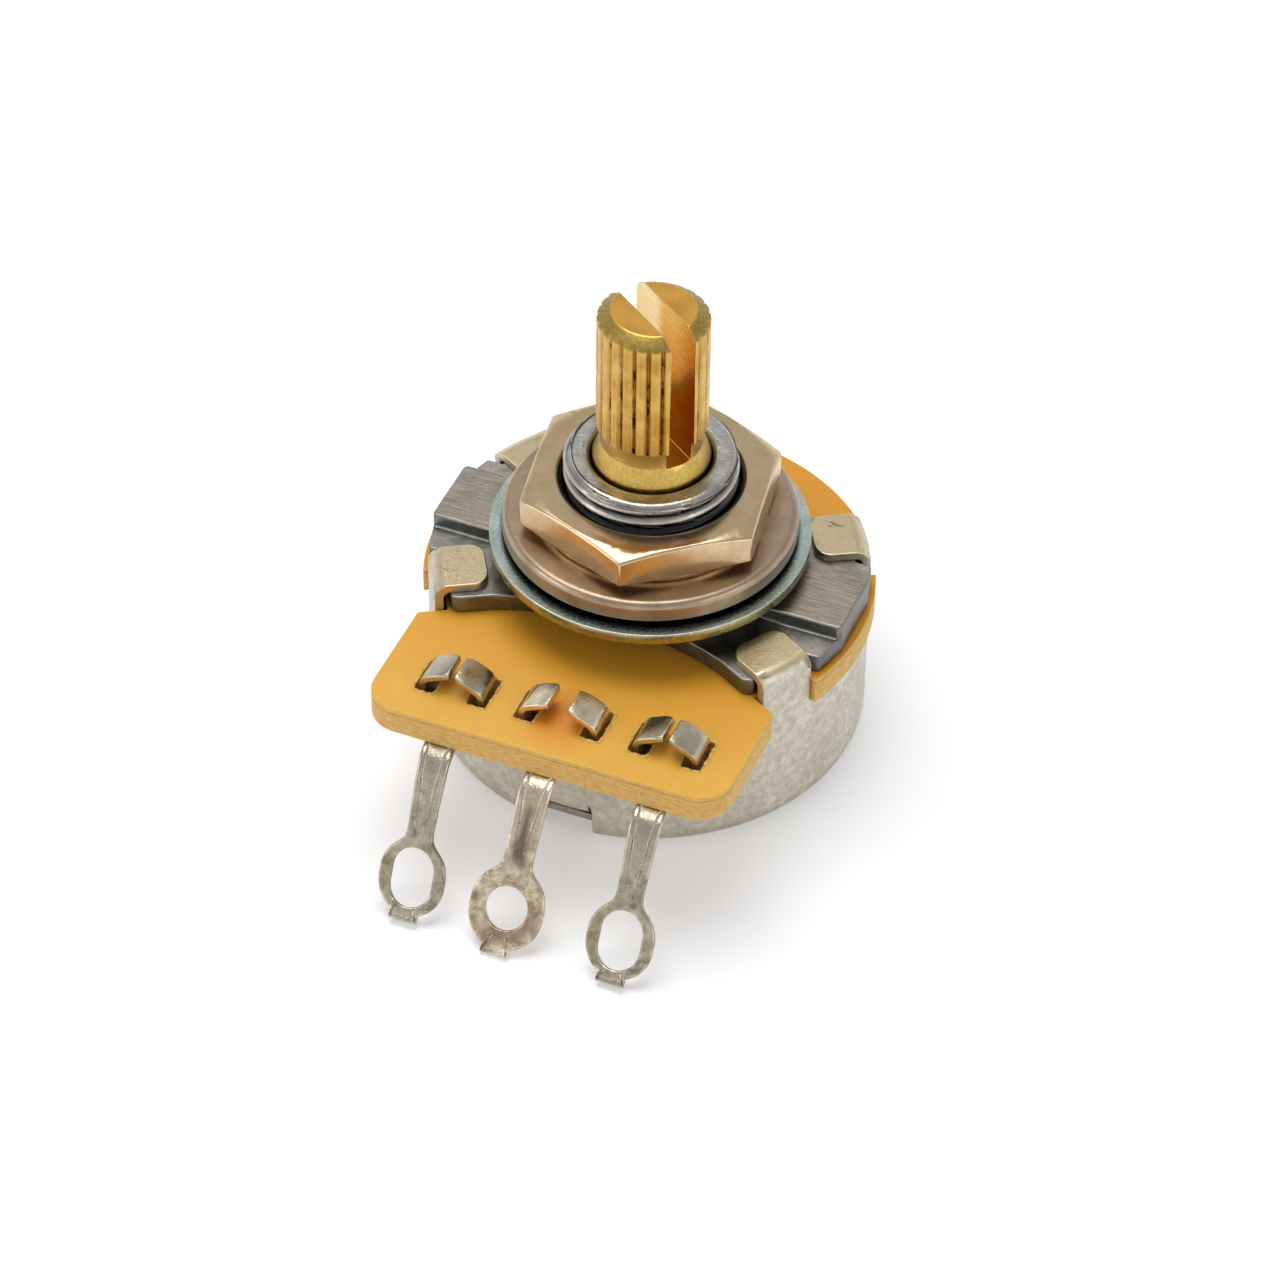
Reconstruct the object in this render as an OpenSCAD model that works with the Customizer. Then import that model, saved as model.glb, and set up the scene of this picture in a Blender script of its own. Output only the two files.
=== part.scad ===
// Panel-mounted rotary potentiometer with a split, knurled shaft and three solder lugs.
// Millimetres. The origin is on the shaft's axis at the cover's back face.
// +Z runs up the shaft, +X along the row of lugs, and the lugs point towards -Y.

/* [Cover] */
// Outside diameter of the drawn steel cover
cover_d = 24; // [22.5:0.1:27]
// Height of the cover from its back face to its rim
cover_h = 7.6; // [7.2:0.1:12]
// Thickness of the cover's sheet
cover_t = 0.5; // [0.35:0.05:0.7]
// Outside radius of the cover's lower edge
cover_edge_r = 1.2; // [0.8:0.05:1.6]
// Width of each fold-over tab
tab_w = 2.8; // [2:0.1:3.4]
// Length of each tab inwards from the cover's outside
tab_reach = 3.1; // [2:0.1:3.4]
// Angle of each tab from the X axis
tab_angle = 30; // [28:0.5:33]
// Corner radius of each tab's free end
tab_corner_r = 0.9; // [0.3:0.05:0.98]
// Inside radius of each tab's fold
tab_bend_r = 0.35; // [0.2:0.05:0.5]
// Width of the relief in the rim behind the lugs
relief_w = 17; // [16.2:0.1:17.6]
// Depth of the relief in the rim behind the lugs
relief_h = 1.6; // [1:0.1:2.2]

/* [Rotation stop] */
// Width of the notch that the stop is lanced from
notch_w = 3.2; // [2.4:0.1:3.6]
// Height of the notch above the back face
notch_h = 2.9; // [2.7:0.1:3.2]
// Radius of the notch's upper corners
notch_corner_r = 0.8; // [0.4:0.1:1]
// Length of the notch across the flat back, inside the rounded edge
notch_run = 0.4; // [0.2:0.1:0.8]
// Gap between the stop tongue and each side of its notch
stop_gap = 0.2; // [0.15:0.05:0.4]
// Length of the stop tongue inwards from the cover's outside
stop_reach = 3; // [2.4:0.1:3.2]
// Inside radius of the stop tongue's fold
stop_bend_r = 0.35; // [0.2:0.05:0.45]
// Straight length of the tongue between its notch's upper edge and its fold
stop_neck = 0.3; // [0.1:0.05:0.4]

/* [Element wafer] */
// Thickness of the phenolic wafer
wafer_t = 1.6; // [1.2:0.1:2]
// Overhang of the wafer's round part past the cover
wafer_lip = 0.3; // [0:0.05:0.5]
// Width of the apron that carries the lugs
apron_w = 20.5; // [19.6:0.1:21]
// Distance from the shaft's axis to the apron's front edge
apron_reach = 15.45; // [14.8:0.05:17]
// Radius of the apron's front corners
apron_corner_r = 1.9; // [1:0.1:2.6]
// Clearance round each tab where it passes through the wafer
tab_clear = 0.3; // [0.1:0.05:0.5]
// Outer radius of the carbon track as a share of the cover's inner radius
track_out_share = 0.826; // [0.8:0.002:0.86]
// Share of the room between the collector ring's bore and the track's outer edge that is track
track_share = 0.4; // [0.3:0.01:0.45]
// Share of the same room that is collector ring
collector_share = 0.3; // [0.2:0.01:0.35]
// Thickness of the printed carbon and silver films
film_t = 0.1; // [0.05:0.01:0.15]
// Thickness of the collector ring
collector_t = 0.3; // [0.2:0.05:0.4]
// Radial clearance of the wafer's hole round the split retaining ring
ring_room = 0.5; // [0.3:0.05:0.8]

/* [Lugs] */
// Distance between neighbouring lugs
lug_pitch = 6.1; // [5.9:0.05:6.4]
// Offset of the whole row of lugs from the shaft's axis
row_shift = 0.15; // [0:0.05:0.4]
// Thickness of the lugs' sheet
lug_t = 0.4; // [0.3:0.05:0.5]
// Width of the outer lugs' straps
outer_strap_w = 1.55; // [1.2:0.05:2]
// Width of the centre lug's strap
centre_strap_w = 1.8; // [1.4:0.05:2.2]
// Angle of the lugs below the wafer's plane
lug_drop_angle = 50; // [44:1:52]
// Inside radius of the lugs' bend
lug_bend_r = 1.8; // [1:0.1:2.4]
// Distance inside the apron's front edge where the lugs begin to bend
lug_bend_inset = 1.05; // [0.7:0.05:1.2]
// Length of each lug from its bend to its eye's centre
lug_l = 5.9; // [5:0.05:6]
// Outside radius of the outer lugs' eyes
outer_eye_r = 1.98; // [1.85:0.01:2.2]
// Radius of the outer lugs' slots
outer_hole_r = 1.17; // [0.9:0.01:1.3]
// Extra length of the outer lugs' slots over a round hole
outer_hole_extra = 0.85; // [0.3:0.05:1.05]
// Outside radius of the centre lug's eye
centre_eye_r = 2.15; // [1.9:0.05:2.3]
// Radius of the centre lug's round hole
centre_hole_r = 1.2; // [0.9:0.05:1.4]
// Width of the sheared stub at each lug's end
stub_w = 1.6; // [1:0.1:2]
// Length of the sheared stub past the eye
stub_l = 0.4; // [0.2:0.05:0.5]
// Sideways lean of the left lug, in degrees
left_lug_lean = 3; // [0:0.5:5]

/* [Staked prongs] */
// Distance between the outer faces of an outer lug's two prongs
outer_prong_span = 3.7; // [3.5:0.05:4]
// Distance between the outer faces of the centre lug's two prongs
centre_prong_span = 4.5; // [4.2:0.05:4.8]
// Width of each prong along Y
prong_w = 1.9; // [1.4:0.1:2.1]
// Inside radius of each prong's fold
prong_bend_r = 0.3; // [0.2:0.05:0.5]
// Angle that each prong is folded through
prong_fold = 72; // [60:1:80]
// Height above the wafer where each prong begins to fold
prong_rise = 0.12; // [0.05:0.01:0.3]
// Gap between the tips of an outer lug's two prongs
outer_prong_gap = 0.1; // [0.06:0.02:0.6]
// Gap between the tips of the centre lug's two prongs
centre_prong_gap = 0.9; // [0.4:0.05:1.4]
// Distance from the apron's front edge to the middle of the prongs
prong_inset = 3.15; // [2.9:0.05:3.3]
// Clearance round a prong in its slot
prong_clear = 0.25; // [0.1:0.05:0.3]

/* [Mounting plate] */
// Thickness of the die-cast plate
plate_t = 1.1; // [0.8:0.1:1.4]
// Distance from the cover's outside to the end of each side arm
arm_inset = 0.1; // [0:0.05:0.4]
// Length of the plate's two side arms along Y
arm_l = 8; // [6:0.1:8.4]
// Radius of the plate's round middle
plate_disc_r = 5.4; // [5.2:0.05:6]
// Width of the plate between its hollow front and back edges
plate_waist = 9.8; // [9.2:0.1:11]
// Radius of the plate's hollow front and back edges
waist_r = 17; // [12:0.5:24]
// Width of the seat under each tab
seat_w = 4.2; // [3:0.1:4.4]
// Corner radius of the tab seats
seat_corner_r = 0.6; // [0.3:0.05:0.9]
// Width of the raised pads along Y
pad_w = 4.5; // [3:0.1:5.2]
// Height of the raised pads above the plate
pad_rise = 0.8; // [0.4:0.05:1]
// Radius of the raised boss under the washers
boss_r = 6.9; // [6.6:0.1:7.2]
// Height of the raised boss above the plate
boss_rise = 1.05; // [1:0.05:1.4]

/* [Bushing] */
// Major diameter of the bushing's thread
thread_d = 9.525; // [9:0.025:9.8]
// Length of the bushing above the plate
bushing_l = 7.5; // [7.3:0.1:10]
// Radius of the rounding at the bushing's end
lip_r = 0.45; // [0.2:0.05:0.5]
// Chamfer at the mouth of the bushing's bore
mouth_chamfer = 0.3; // [0.1:0.05:0.45]

/* [Shaft] */
// Diameter of the shaft in its bushing
shaft_d = 6.35; // [6:0.05:6.5]
// Radial running clearance of the shaft in its bushing
shaft_clear = 0.05; // [0.02:0.01:0.1]
// Length of the shaft past the bushing
shaft_reach = 9.65; // [8:0.05:16]
// Diameter over the crests of the knurl
knurl_d = 6; // [5.7:0.05:6.1]
// Depth of the knurl's grooves
knurl_depth = 0.2; // [0.1:0.01:0.25]
// Number of teeth of the knurl
knurl_teeth = 24; // [18:1:40]
// Share of each tooth's pitch that is its flat land
knurl_land = 0.56; // [0.3:0.02:0.7]
// Length of the cone from the bushing's end to the neck
cone_l = 1; // [0.6:0.1:1.5]
// Length of the plain neck under the knurl
neck_l = 1.1; // [0.5:0.1:2]
// Height of the chamfer at the shaft's end
tip_h = 0.55; // [0.3:0.05:0.9]
// Diameter of the shaft's flat end
tip_d = 4.5; // [4:0.1:5.4]
// Width of the slot across the shaft
slot_w = 1.5; // [1:0.05:1.8]
// Direction of the slot from the X axis at rest
slot_turn = -35.4; // [-90:0.1:90]

/* [Rotor] */
// Gap between the rotor's disc and the cover's inner wall
rotor_gap = 1.5; // [1.2:0.1:2]
// Thickness of the rotor's disc
rotor_t = 1.3; // [1:0.1:1.6]
// Height of the rotor's hub above and below its disc
hub_rise = 0.6; // [0.4:0.1:0.7]
// Radius of the rotor's hub
hub_r = 4; // [3.8:0.1:4.2]
// Height of the rotor's disc above the back face
rotor_z = 3.3; // [3.2:0.05:3.5]
// Gap between the rotor's stop lug and the cover's inner wall
stop_lug_gap = 0.7; // [0.5:0.05:1]
// Half angle of the rotor's stop lug, in degrees
stop_lug_angle = 19; // [14:0.5:19.5]
// Depth of the stop lug below the rotor's disc
stop_lug_drop = 1.8; // [1.4:0.1:2.2]
// Thickness of the wiper's spring sheet
wiper_t = 0.25; // [0.15:0.05:0.3]
// Width of each wiper finger
wiper_w = 1.1; // [0.8:0.1:1.2]
// Running gap between a wiper finger and what it slides on
wiper_gap = 0.03; // [0.02:0.01:0.06]

/* [Retainer] */
// Thickness of the split retaining ring
ring_t = 0.55; // [0.4:0.05:0.6]
// Outer radius of the split retaining ring
ring_r = 4.3; // [4:0.1:4.4]
// Depth of the retaining ring's groove in the shaft
groove_depth = 0.55; // [0.3:0.05:0.7]
// Thickness of the dished spring washer
spring_t = 0.2; // [0.15:0.05:0.25]
// Dish of the spring washer from its rim to its hole
spring_dish = 0.2; // [0.1:0.05:0.25]
// Radial clearance of the spring washer over the shaft
spring_clear = 0.15; // [0.05:0.05:0.25]
// Half angle of the split ring's mouth, in degrees
ring_mouth = 50; // [35:1:60]

/* [Panel hardware] */
// Thinnest wall of the hex nut, from its thread to a flat
nut_wall = 1.5875; // [1.25:0.0125:2.2]
// Thickness of the hex nut
nut_t = 2.4; // [2:0.1:2.8]
// Turn of the hex nut about the shaft's axis
nut_turn = 39; // [0:1:60]
// Drop of the nut's upper corners below its top
nut_corner_drop = 0.35; // [0.1:0.05:0.6]
// Height of the round washer face under the nut
nut_face_h = 0.35; // [0.1:0.05:0.5]
// Radial clearance of the nut over the thread
nut_clear = 0.04; // [0.02:0.01:0.1]
// Countersink at the mouth of the nut's thread
nut_mouth = 0.3; // [0.1:0.05:0.5]
// Diameter of the flat washer
flat_washer_d = 16; // [15.4:0.1:17]
// Thickness of the flat washer
flat_washer_t = 1.1; // [0.7:0.05:1.2]
// Radius of the flat washer's rolled upper rim
flat_washer_rim_r = 0.4; // [0.2:0.05:0.5]
// Diameter of the lock washer
lock_washer_d = 17.4; // [17:0.1:18.4]
// Thickness of the lock washer's sheet
lock_washer_t = 0.65; // [0.5:0.05:0.75]
// Width of the lock washer's flat ring
lock_ring_w = 2.1; // [1.8:0.05:2.4]
// Number of teeth of the lock washer
lock_teeth = 10; // [8:1:11]
// Width of each lock-washer tooth
lock_tooth_w = 2.2; // [1.8:0.1:2.4]
// Twist of each lock-washer tooth
lock_tooth_twist = 24; // [20:1:28]
// Radial clearance of both washers over the thread
washer_clear = 0.2; // [0.1:0.05:0.3]

/* [Hidden] */
$fn = 96;
// A small overlap that makes a cut run clean through a face
eps = 0.1;

cover_r = cover_d / 2;
cover_ir = cover_r - cover_t;
stop_w = notch_w - 2 * stop_gap;
wafer_top = cover_h + wafer_t;
plate_top = wafer_top + plate_t;
pad_top = plate_top + pad_rise;
boss_top = plate_top + boss_rise;
bushing_top = plate_top + bushing_l;
thread_r = thread_d / 2;
bore_r = shaft_d / 2 + shaft_clear;
plate_w = cover_d - 2 * arm_inset;

// The twisted teeth stand clear of the lock washer's ring by the same amount above and below
tooth_span = lock_tooth_w * sin(lock_tooth_twist) + lock_washer_t * cos(lock_tooth_twist);
flat_washer_z = boss_top + tooth_span;
nut_z = flat_washer_z + flat_washer_t;
nut_af = thread_d + 2 * nut_wall;
washer_hole_r = thread_r + washer_clear;
lock_ring_r = lock_washer_d / 2 - lock_ring_w;
// The teeth end a little outside the flat washer's hole, and run this far into the ring
tooth_inset = 0.1;
tooth_in_r = washer_hole_r + tooth_inset;
tooth_root = 0.4;
nut_face_inset = 0.15;
nut_under_drop = 0.15;

// Shaft heights
shaft_top = bushing_top + shaft_reach;
knurl_z = bushing_top + cone_l + neck_l;
knurl_top = shaft_top - tip_h;
knurl_r = knurl_d / 2;
knurl_root_r = knurl_r - knurl_depth;
// The neck is turned a little smaller than the knurl's grooves
neck_step = 0.05;
neck_r = knurl_root_r - neck_step;

// The rotor's radii follow the cover's wall, and its heights start from its disc
rotor_r = cover_ir - rotor_gap;
stop_lug_r = cover_ir - stop_lug_gap;
rotor_top = rotor_z + rotor_t;
hub_top = rotor_top + hub_rise;
hub_z = rotor_z - hub_rise;
tang_r = 2.3;
tang_flat = 1.75;
tang_clear = 0.03;
rivet_r = 2.9;
rivet_h = 0.5;
rivet_draft = 0.3;
pip_r = 1;
pip_gap = 0.3;
stop_lug_root = 1;

// The wiper's fingers: a flat root, a rising arm, a short flat contact and a turned-down toe
finger_root_x = 3.2;
finger_root_l = 0.6;
finger_tip = 0.2;
finger_toe = 0.5;
finger_toe_drop = 0.25;
wiper_strip_y = 3;
wiper_hub_gap = 0.1;

// Retainer heights, down from the plate's underside
retainer_gap = 0.05;
spring_z = wafer_top - retainer_gap - spring_t - spring_dish;
ring_z = spring_z - retainer_gap - ring_t;
groove_r = shaft_d / 2 - groove_depth;
groove_play = 0.05;
ring_clear = 0.03;

// Radii on the wafer's underside, from its hole out to the cover's wall
collector_inset = 0.2;
wafer_hole_r = ring_r + ring_room;
collector_r_in = wafer_hole_r + collector_inset;
track_r_out = cover_ir * track_out_share;
contact_room = track_r_out - collector_r_in;
collector_r_out = collector_r_in + collector_share * contact_room;
collector_mid_r = (collector_r_in + collector_r_out) / 2;
track_r_in = track_r_out - track_share * contact_room;
track_mid_r = (track_r_in + track_r_out) / 2;

// Rotor travel to each side of the middle, in degrees
travel = 150;
// Each silver end's patch covers this angle, and its strip starts this far inside the patch
silver_turn = 8;
silver_inset = 2.5;

// Lug geometry
prong_y = apron_reach - prong_inset;
lug_bend_y = apron_reach - lug_bend_inset;
tongue_w = 1.8;
tongue_l = 1.7;
tongue_y = prong_y - tongue_l;
base_lip = 0.25;
base_front_y = prong_y + prong_w / 2 + base_lip;
lug_outer_bend_r = lug_bend_r + lug_t;

// The seats end where the tabs' inner bend begins, measured at the tabs' sides
tab_top = plate_top + cover_t;
seat_reach = sqrt(pow(cover_ir - tab_bend_r, 2) - pow(tab_w / 2, 2));

// Angles of the four tabs, from the front right round to the front left
tab_turns = [-tab_angle, tab_angle, 180 - tab_angle, 180 + tab_angle];

// A rectangle from corner [x0, y0] to corner [x1, y1]
module box2(x0, y0, x1, y1) {
  translate([x0, y0])
    square([x1 - x0, y1 - y0]);
}

// A centred rectangle whose four corners are true arcs
module round_rect(w, l, r) {
  square([w - 2 * r, l], center = true);
  square([w, l - 2 * r], center = true);
  for (sx = [-1, 1], sy = [-1, 1])
    translate([sx * (w / 2 - r), sy * (l / 2 - r)])
      circle(r);
}

// A ring from radius r0 to radius r1
module ring2(r0, r1) {
  difference() {
    circle(r1);
    circle(r0);
  }
}

// A wedge of the plane from angle a0 to angle a1, less than half a turn apart
module wedge2(a0, a1, reach) {
  mid = (a0 + a1) / 2;
  far = reach / cos((a1 - a0) / 4);
  polygon([[0, 0], reach * [cos(a0), sin(a0)], far * [cos((a0 + mid) / 2), sin((a0 + mid) / 2)],
    reach * [cos(mid), sin(mid)], far * [cos((a1 + mid) / 2), sin((a1 + mid) / 2)],
    reach * [cos(a1), sin(a1)]]);
}

// Turns a profile drawn in X and Z into a slab of width w, centred on the XZ plane
module slab_xz(w) {
  translate([0, w / 2, 0])
    rotate([90, 0, 0])
      linear_extrude(w)
        children();
}

// Turns a profile drawn in Y and Z into a slab of width w, centred on the YZ plane
module slab_yz(w) {
  translate([-w / 2, 0, 0])
    rotate([90, 0, 90])
      linear_extrude(w)
        children();
}

// A sheet folded through a right angle: up to the outer corner [x, z], then inwards by reach
module fold_profile(x, z0, z, reach, t, ri) {
  ro = ri + t;
  box2(x - t, z0, x, z - ro);
  box2(x - reach, z - t, x - ro, z);
  translate([x - ro, z - ro])
    intersection() {
      ring2(ri, ro);
      square(ro);
    }
}

// Plan of one tab along +X, with a rounded free end
module tab_plan() {
  mid_x = cover_r - tab_reach / 2;
  translate([mid_x, 0])
    round_rect(tab_reach, tab_w, tab_corner_r);
  box2(mid_x, -tab_w / 2, cover_r + eps, tab_w / 2);
}

// What is cut off above the rim: all of it apart from the four tabs
module tab_cut() {
  translate([0, 0, cover_h])
    linear_extrude(tab_top - cover_h + eps)
      difference() {
        circle(cover_r + eps);
        for (a = tab_turns)
          rotate(a)
            tab_plan();
      }
}

// The stop: a tongue lanced from the wall and folded inwards, on the -Y side
module stop_tongue() {
  stop_z = notch_h - stop_neck - stop_bend_r - cover_t;
  intersection() {
    rotate_extrude()
      translate([0, stop_z])
        mirror([0, 1])
          fold_profile(cover_r, stop_z - notch_h - cover_t, 0, stop_reach, cover_t, stop_bend_r);
    translate([-stop_w / 2, -cover_r - eps, 0])
      cube([stop_w, cover_r, cover_h]);
  }
}

// The lanced notch, with rounded upper corners, running towards -Y for a length l
module slab_notch(l) {
  corner_x = notch_w / 2 - notch_corner_r;
  corner_z = notch_h - notch_corner_r;
  rotate([90, 0, 0])
    linear_extrude(l) {
      box2(-notch_w / 2, -eps, notch_w / 2, corner_z);
      box2(-corner_x, -eps, corner_x, notch_h);
      for (s = [-1, 1])
        translate([s * corner_x, corner_z])
          circle(notch_corner_r);
    }
}

// The cover: a drawn cup, turned with its rim folded in all round, then cut back to four tabs
module cover() {
  notch_in = cover_r - cover_edge_r - notch_run;
  color("#c9c4b6") {
    difference() {
      rotate_extrude() {
        fold_profile(cover_r, cover_edge_r, tab_top, tab_reach, cover_t, tab_bend_r);
        mirror([0, 1])
          fold_profile(cover_r, -2 * cover_edge_r, 0, cover_r, cover_t, cover_edge_r - cover_t);
      }
      tab_cut();
      translate([-relief_w / 2, -cover_r - eps, cover_h - relief_h])
        cube([relief_w, cover_r, relief_h + eps]);
      translate([0, -notch_in, 0])
        slab_notch(cover_r - notch_in + eps);
    }
    stop_tongue();
  }
}

// Plan of the cast plate: a round middle, two side arms, and a seat under each tab that a web
// with a hollow edge joins to its neighbour
module plate_plan() {
  arm_corner = 0.35;
  web_x = seat_reach * cos(tab_angle) - seat_w / 2;
  web_y = seat_reach * sin(tab_angle) + seat_w / 2;
  circle(plate_disc_r);
  round_rect(plate_w, arm_l, arm_corner);
  difference() {
    square([2 * web_x, 2 * web_y], center = true);
    for (s = [-1, 1])
      translate([0, s * (plate_waist / 2 + waist_r)])
        circle(waist_r);
  }
  for (a = tab_turns)
    rotate(a)
      intersection() {
        round_rect(2 * seat_reach, seat_w, seat_corner_r);
        box2(0, -seat_w, cover_r, seat_w);
      }
}

module mounting_plate() {
  pad_corner = 0.3;
  color("#9b958c")
    difference() {
      union() {
        intersection() {
          translate([0, 0, wafer_top])
            linear_extrude(plate_t + boss_rise)
              plate_plan();
          rotate_extrude() {
            box2(0, wafer_top - eps, cover_r, plate_top);
            box2(0, wafer_top - eps, boss_r, boss_top + eps);
          }
        }
        translate([0, 0, wafer_top])
          linear_extrude(plate_t + pad_rise)
            round_rect(plate_w, pad_w, pad_corner);
        rotate_extrude() {
          box2(0, wafer_top, thread_r, bushing_top - lip_r);
          box2(0, wafer_top, thread_r - lip_r, bushing_top);
          translate([thread_r - lip_r, bushing_top - lip_r])
            circle(lip_r);
        }
      }
      translate([0, 0, wafer_top - eps])
        cylinder(h = bushing_l + plate_t + 2 * eps, r = bore_r);
      translate([0, 0, bushing_top - mouth_chamfer])
        cylinder(h = mouth_chamfer + eps, r1 = bore_r, r2 = bore_r + mouth_chamfer + eps);
    }
}

// Plan of the wafer: a disc with a straight-sided apron, cut away where the tabs pass
module wafer_plan() {
  notch_half = tab_w / 2 + tab_clear;
  difference() {
    union() {
      circle(cover_r + wafer_lip);
      translate([0, -apron_reach / 2])
        intersection() {
          round_rect(apron_w, apron_reach, apron_corner_r);
          translate([0, -apron_corner_r])
            square([apron_w, apron_reach], center = true);
        }
    }
    circle(wafer_hole_r);
    for (a = tab_turns)
      rotate(a)
        box2(cover_ir - tab_clear, -notch_half, apron_reach, notch_half);
  }
}

// Plan of the two slots that one lug's prongs come up through
module prong_slots(span) {
  slot_in = span / 2 - lug_t - prong_bend_r - prong_clear;
  slot_half = prong_w / 2 + prong_clear;
  for (s = [0, 1])
    mirror([s, 0])
      box2(slot_in, -prong_y - slot_half, span / 2 + prong_clear, -prong_y + slot_half);
}

module element_wafer() {
  color("#d9952b")
    translate([0, 0, cover_h])
      linear_extrude(wafer_t)
        difference() {
          wafer_plan();
          translate([row_shift, 0]) {
            prong_slots(centre_prong_span);
            for (s = [-1, 1])
              translate([s * lug_pitch, 0])
                prong_slots(outer_prong_span);
          }
        }
}

// The carbon track: a printed ring on the wafer's underside, open towards the lugs
module carbon_track() {
  color("#2b2926")
    translate([0, 0, cover_h - film_t])
      linear_extrude(film_t)
        difference() {
          ring2(track_r_in, track_r_out);
          wedge2(-90 - (180 - travel), -90 + (180 - travel), cover_r);
        }
}

// One printed silver end: a patch at the track's end, and a strip from it out to the lug.
// It is drawn on the +X side, and flipped is 1 for the one on the -X side.
module silver_end(flipped) {
  lug_x = lug_pitch + (1 - 2 * flipped) * row_shift;
  far_turn = 90 - travel;
  near_turn = far_turn - silver_turn;
  near_root = near_turn + silver_inset;
  far_root = far_turn - silver_inset;
  color("#b9b9b4")
    translate([0, 0, cover_h - film_t])
      mirror([flipped, 0, 0])
        linear_extrude(film_t) {
          intersection() {
            ring2(track_r_in, track_r_out);
            wedge2(near_turn, far_turn, cover_r);
          }
          polygon([track_mid_r * [cos(near_root), sin(near_root)], [lug_x - tongue_w / 2, -tongue_y],
            [lug_x + tongue_w / 2, -tongue_y], track_mid_r * [cos(far_root), sin(far_root)]]);
        }
}

module collector_ring() {
  color("#c9a95c")
    translate([0, 0, cover_h - collector_t])
      linear_extrude(collector_t)
        ring2(collector_r_in, collector_r_out);
}

// One prong in section: it stands up through its slot and folds inwards, towards -X.
// Its straight end stops half of tip_gap short of the lug's middle.
module prong_profile(x_out, tip_gap) {
  outer_r = prong_bend_r + lug_t;
  fold_z = wafer_top + prong_rise;
  fold_x = x_out - outer_r + prong_bend_r * cos(prong_fold);
  prong_l = (fold_x - tip_gap / 2) / sin(prong_fold);
  box2(x_out - lug_t, cover_h - lug_t, x_out, fold_z);
  translate([x_out - outer_r, fold_z]) {
    intersection() {
      ring2(prong_bend_r, outer_r);
      wedge2(0, prong_fold, 2 * outer_r);
    }
    rotate(prong_fold)
      box2(prong_bend_r, 0, outer_r, prong_l);
  }
}

// Plan of a lug below its bend, from the bend along +Y: strap, eye and sheared stub.
// The eye's outline is stretched a third as much as its slot.
module lug_plan(strap_w, eye_r, hole_r, extra) {
  eye_shift = extra / 6;
  difference() {
    union() {
      box2(-strap_w / 2, 0, strap_w / 2, lug_l);
      for (s = [-1, 1])
        translate([0, lug_l + s * eye_shift])
          circle(eye_r);
      box2(-stub_w / 2, lug_l, stub_w / 2, lug_l + eye_r + stub_l);
    }
    for (s = [-1, 1])
      translate([0, lug_l + s * extra / 2])
        circle(hole_r);
    if (extra > 0)
      box2(-hole_r, lug_l - extra / 2, hole_r, lug_l + extra / 2);
  }
}

// One lug stamping: base under the wafer, two staked prongs, strap, bend and eye.
// inner_y is how far the base reaches towards the shaft, and lean turns the lug sideways.
module terminal(x, strap_w, span, tip_gap, inner_y, eye_r, hole_r, extra, lean) {
  color("#a9a08a")
    translate([x + row_shift, 0, 0]) {
      translate([0, 0, cover_h - lug_t])
        linear_extrude(lug_t) {
          box2(-span / 2, -base_front_y, span / 2, -prong_y + prong_w / 2);
          box2(-tongue_w / 2, -prong_y, tongue_w / 2, -inner_y);
          box2(-strap_w / 2, -lug_bend_y, strap_w / 2, -prong_y);
        }
      for (s = [0, 1])
        mirror([s, 0, 0])
          translate([0, -prong_y, 0])
            slab_xz(prong_w)
              prong_profile(span / 2, tip_gap);
      slab_yz(strap_w)
        translate([-lug_bend_y, cover_h - lug_outer_bend_r])
          intersection() {
            ring2(lug_bend_r, lug_outer_bend_r);
            wedge2(90, 90 + lug_drop_angle, 2 * lug_outer_bend_r);
          }
      translate([0, -lug_bend_y, cover_h - lug_outer_bend_r])
        rotate([lug_drop_angle, 0, 0])
          translate([0, 0, lug_bend_r])
            rotate([0, 0, 180 + lean])
              linear_extrude(lug_t)
                lug_plan(strap_w, eye_r, hole_r, extra);
    }
}

module terminal_left() {
  terminal(-lug_pitch, outer_strap_w, outer_prong_span, outer_prong_gap, tongue_y, outer_eye_r,
    outer_hole_r, outer_hole_extra, left_lug_lean);
}

module terminal_centre() {
  terminal(0, centre_strap_w, centre_prong_span, centre_prong_gap, collector_r_out, centre_eye_r,
    centre_hole_r, 0, 0);
}

module terminal_right() {
  terminal(lug_pitch, outer_strap_w, outer_prong_span, outer_prong_gap, tongue_y, outer_eye_r,
    outer_hole_r, outer_hole_extra, 0);
}

// Section of the knurl: a flat land and a V groove for each tooth
module knurl_plan() {
  pitch = 360 / knurl_teeth;
  land = pitch * knurl_land / 2;
  tooth = [[-land, knurl_r], [land, knurl_r], [pitch / 2, knurl_root_r]];
  polygon([for (i = [0 : knurl_teeth - 1], p = tooth)
    p[1] * [cos(i * pitch + p[0]), sin(i * pitch + p[0])]]);
}

// The knurled length, with the end's chamfer cut across the teeth.
// The cone starts eps outside the crests, so that it meets no edge of theirs.
module knurled_end() {
  cone_drop = eps * tip_h / (knurl_r - tip_d / 2);
  intersection() {
    translate([0, 0, knurl_z])
      linear_extrude(shaft_top - knurl_z)
        rotate(slot_turn)
          knurl_plan();
    rotate_extrude()
      polygon([[0, knurl_z - eps], [knurl_r + eps, knurl_z - eps], [knurl_r + eps, knurl_top - cone_drop],
        [tip_d / 2, shaft_top], [0, shaft_top]]);
  }
}

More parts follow.
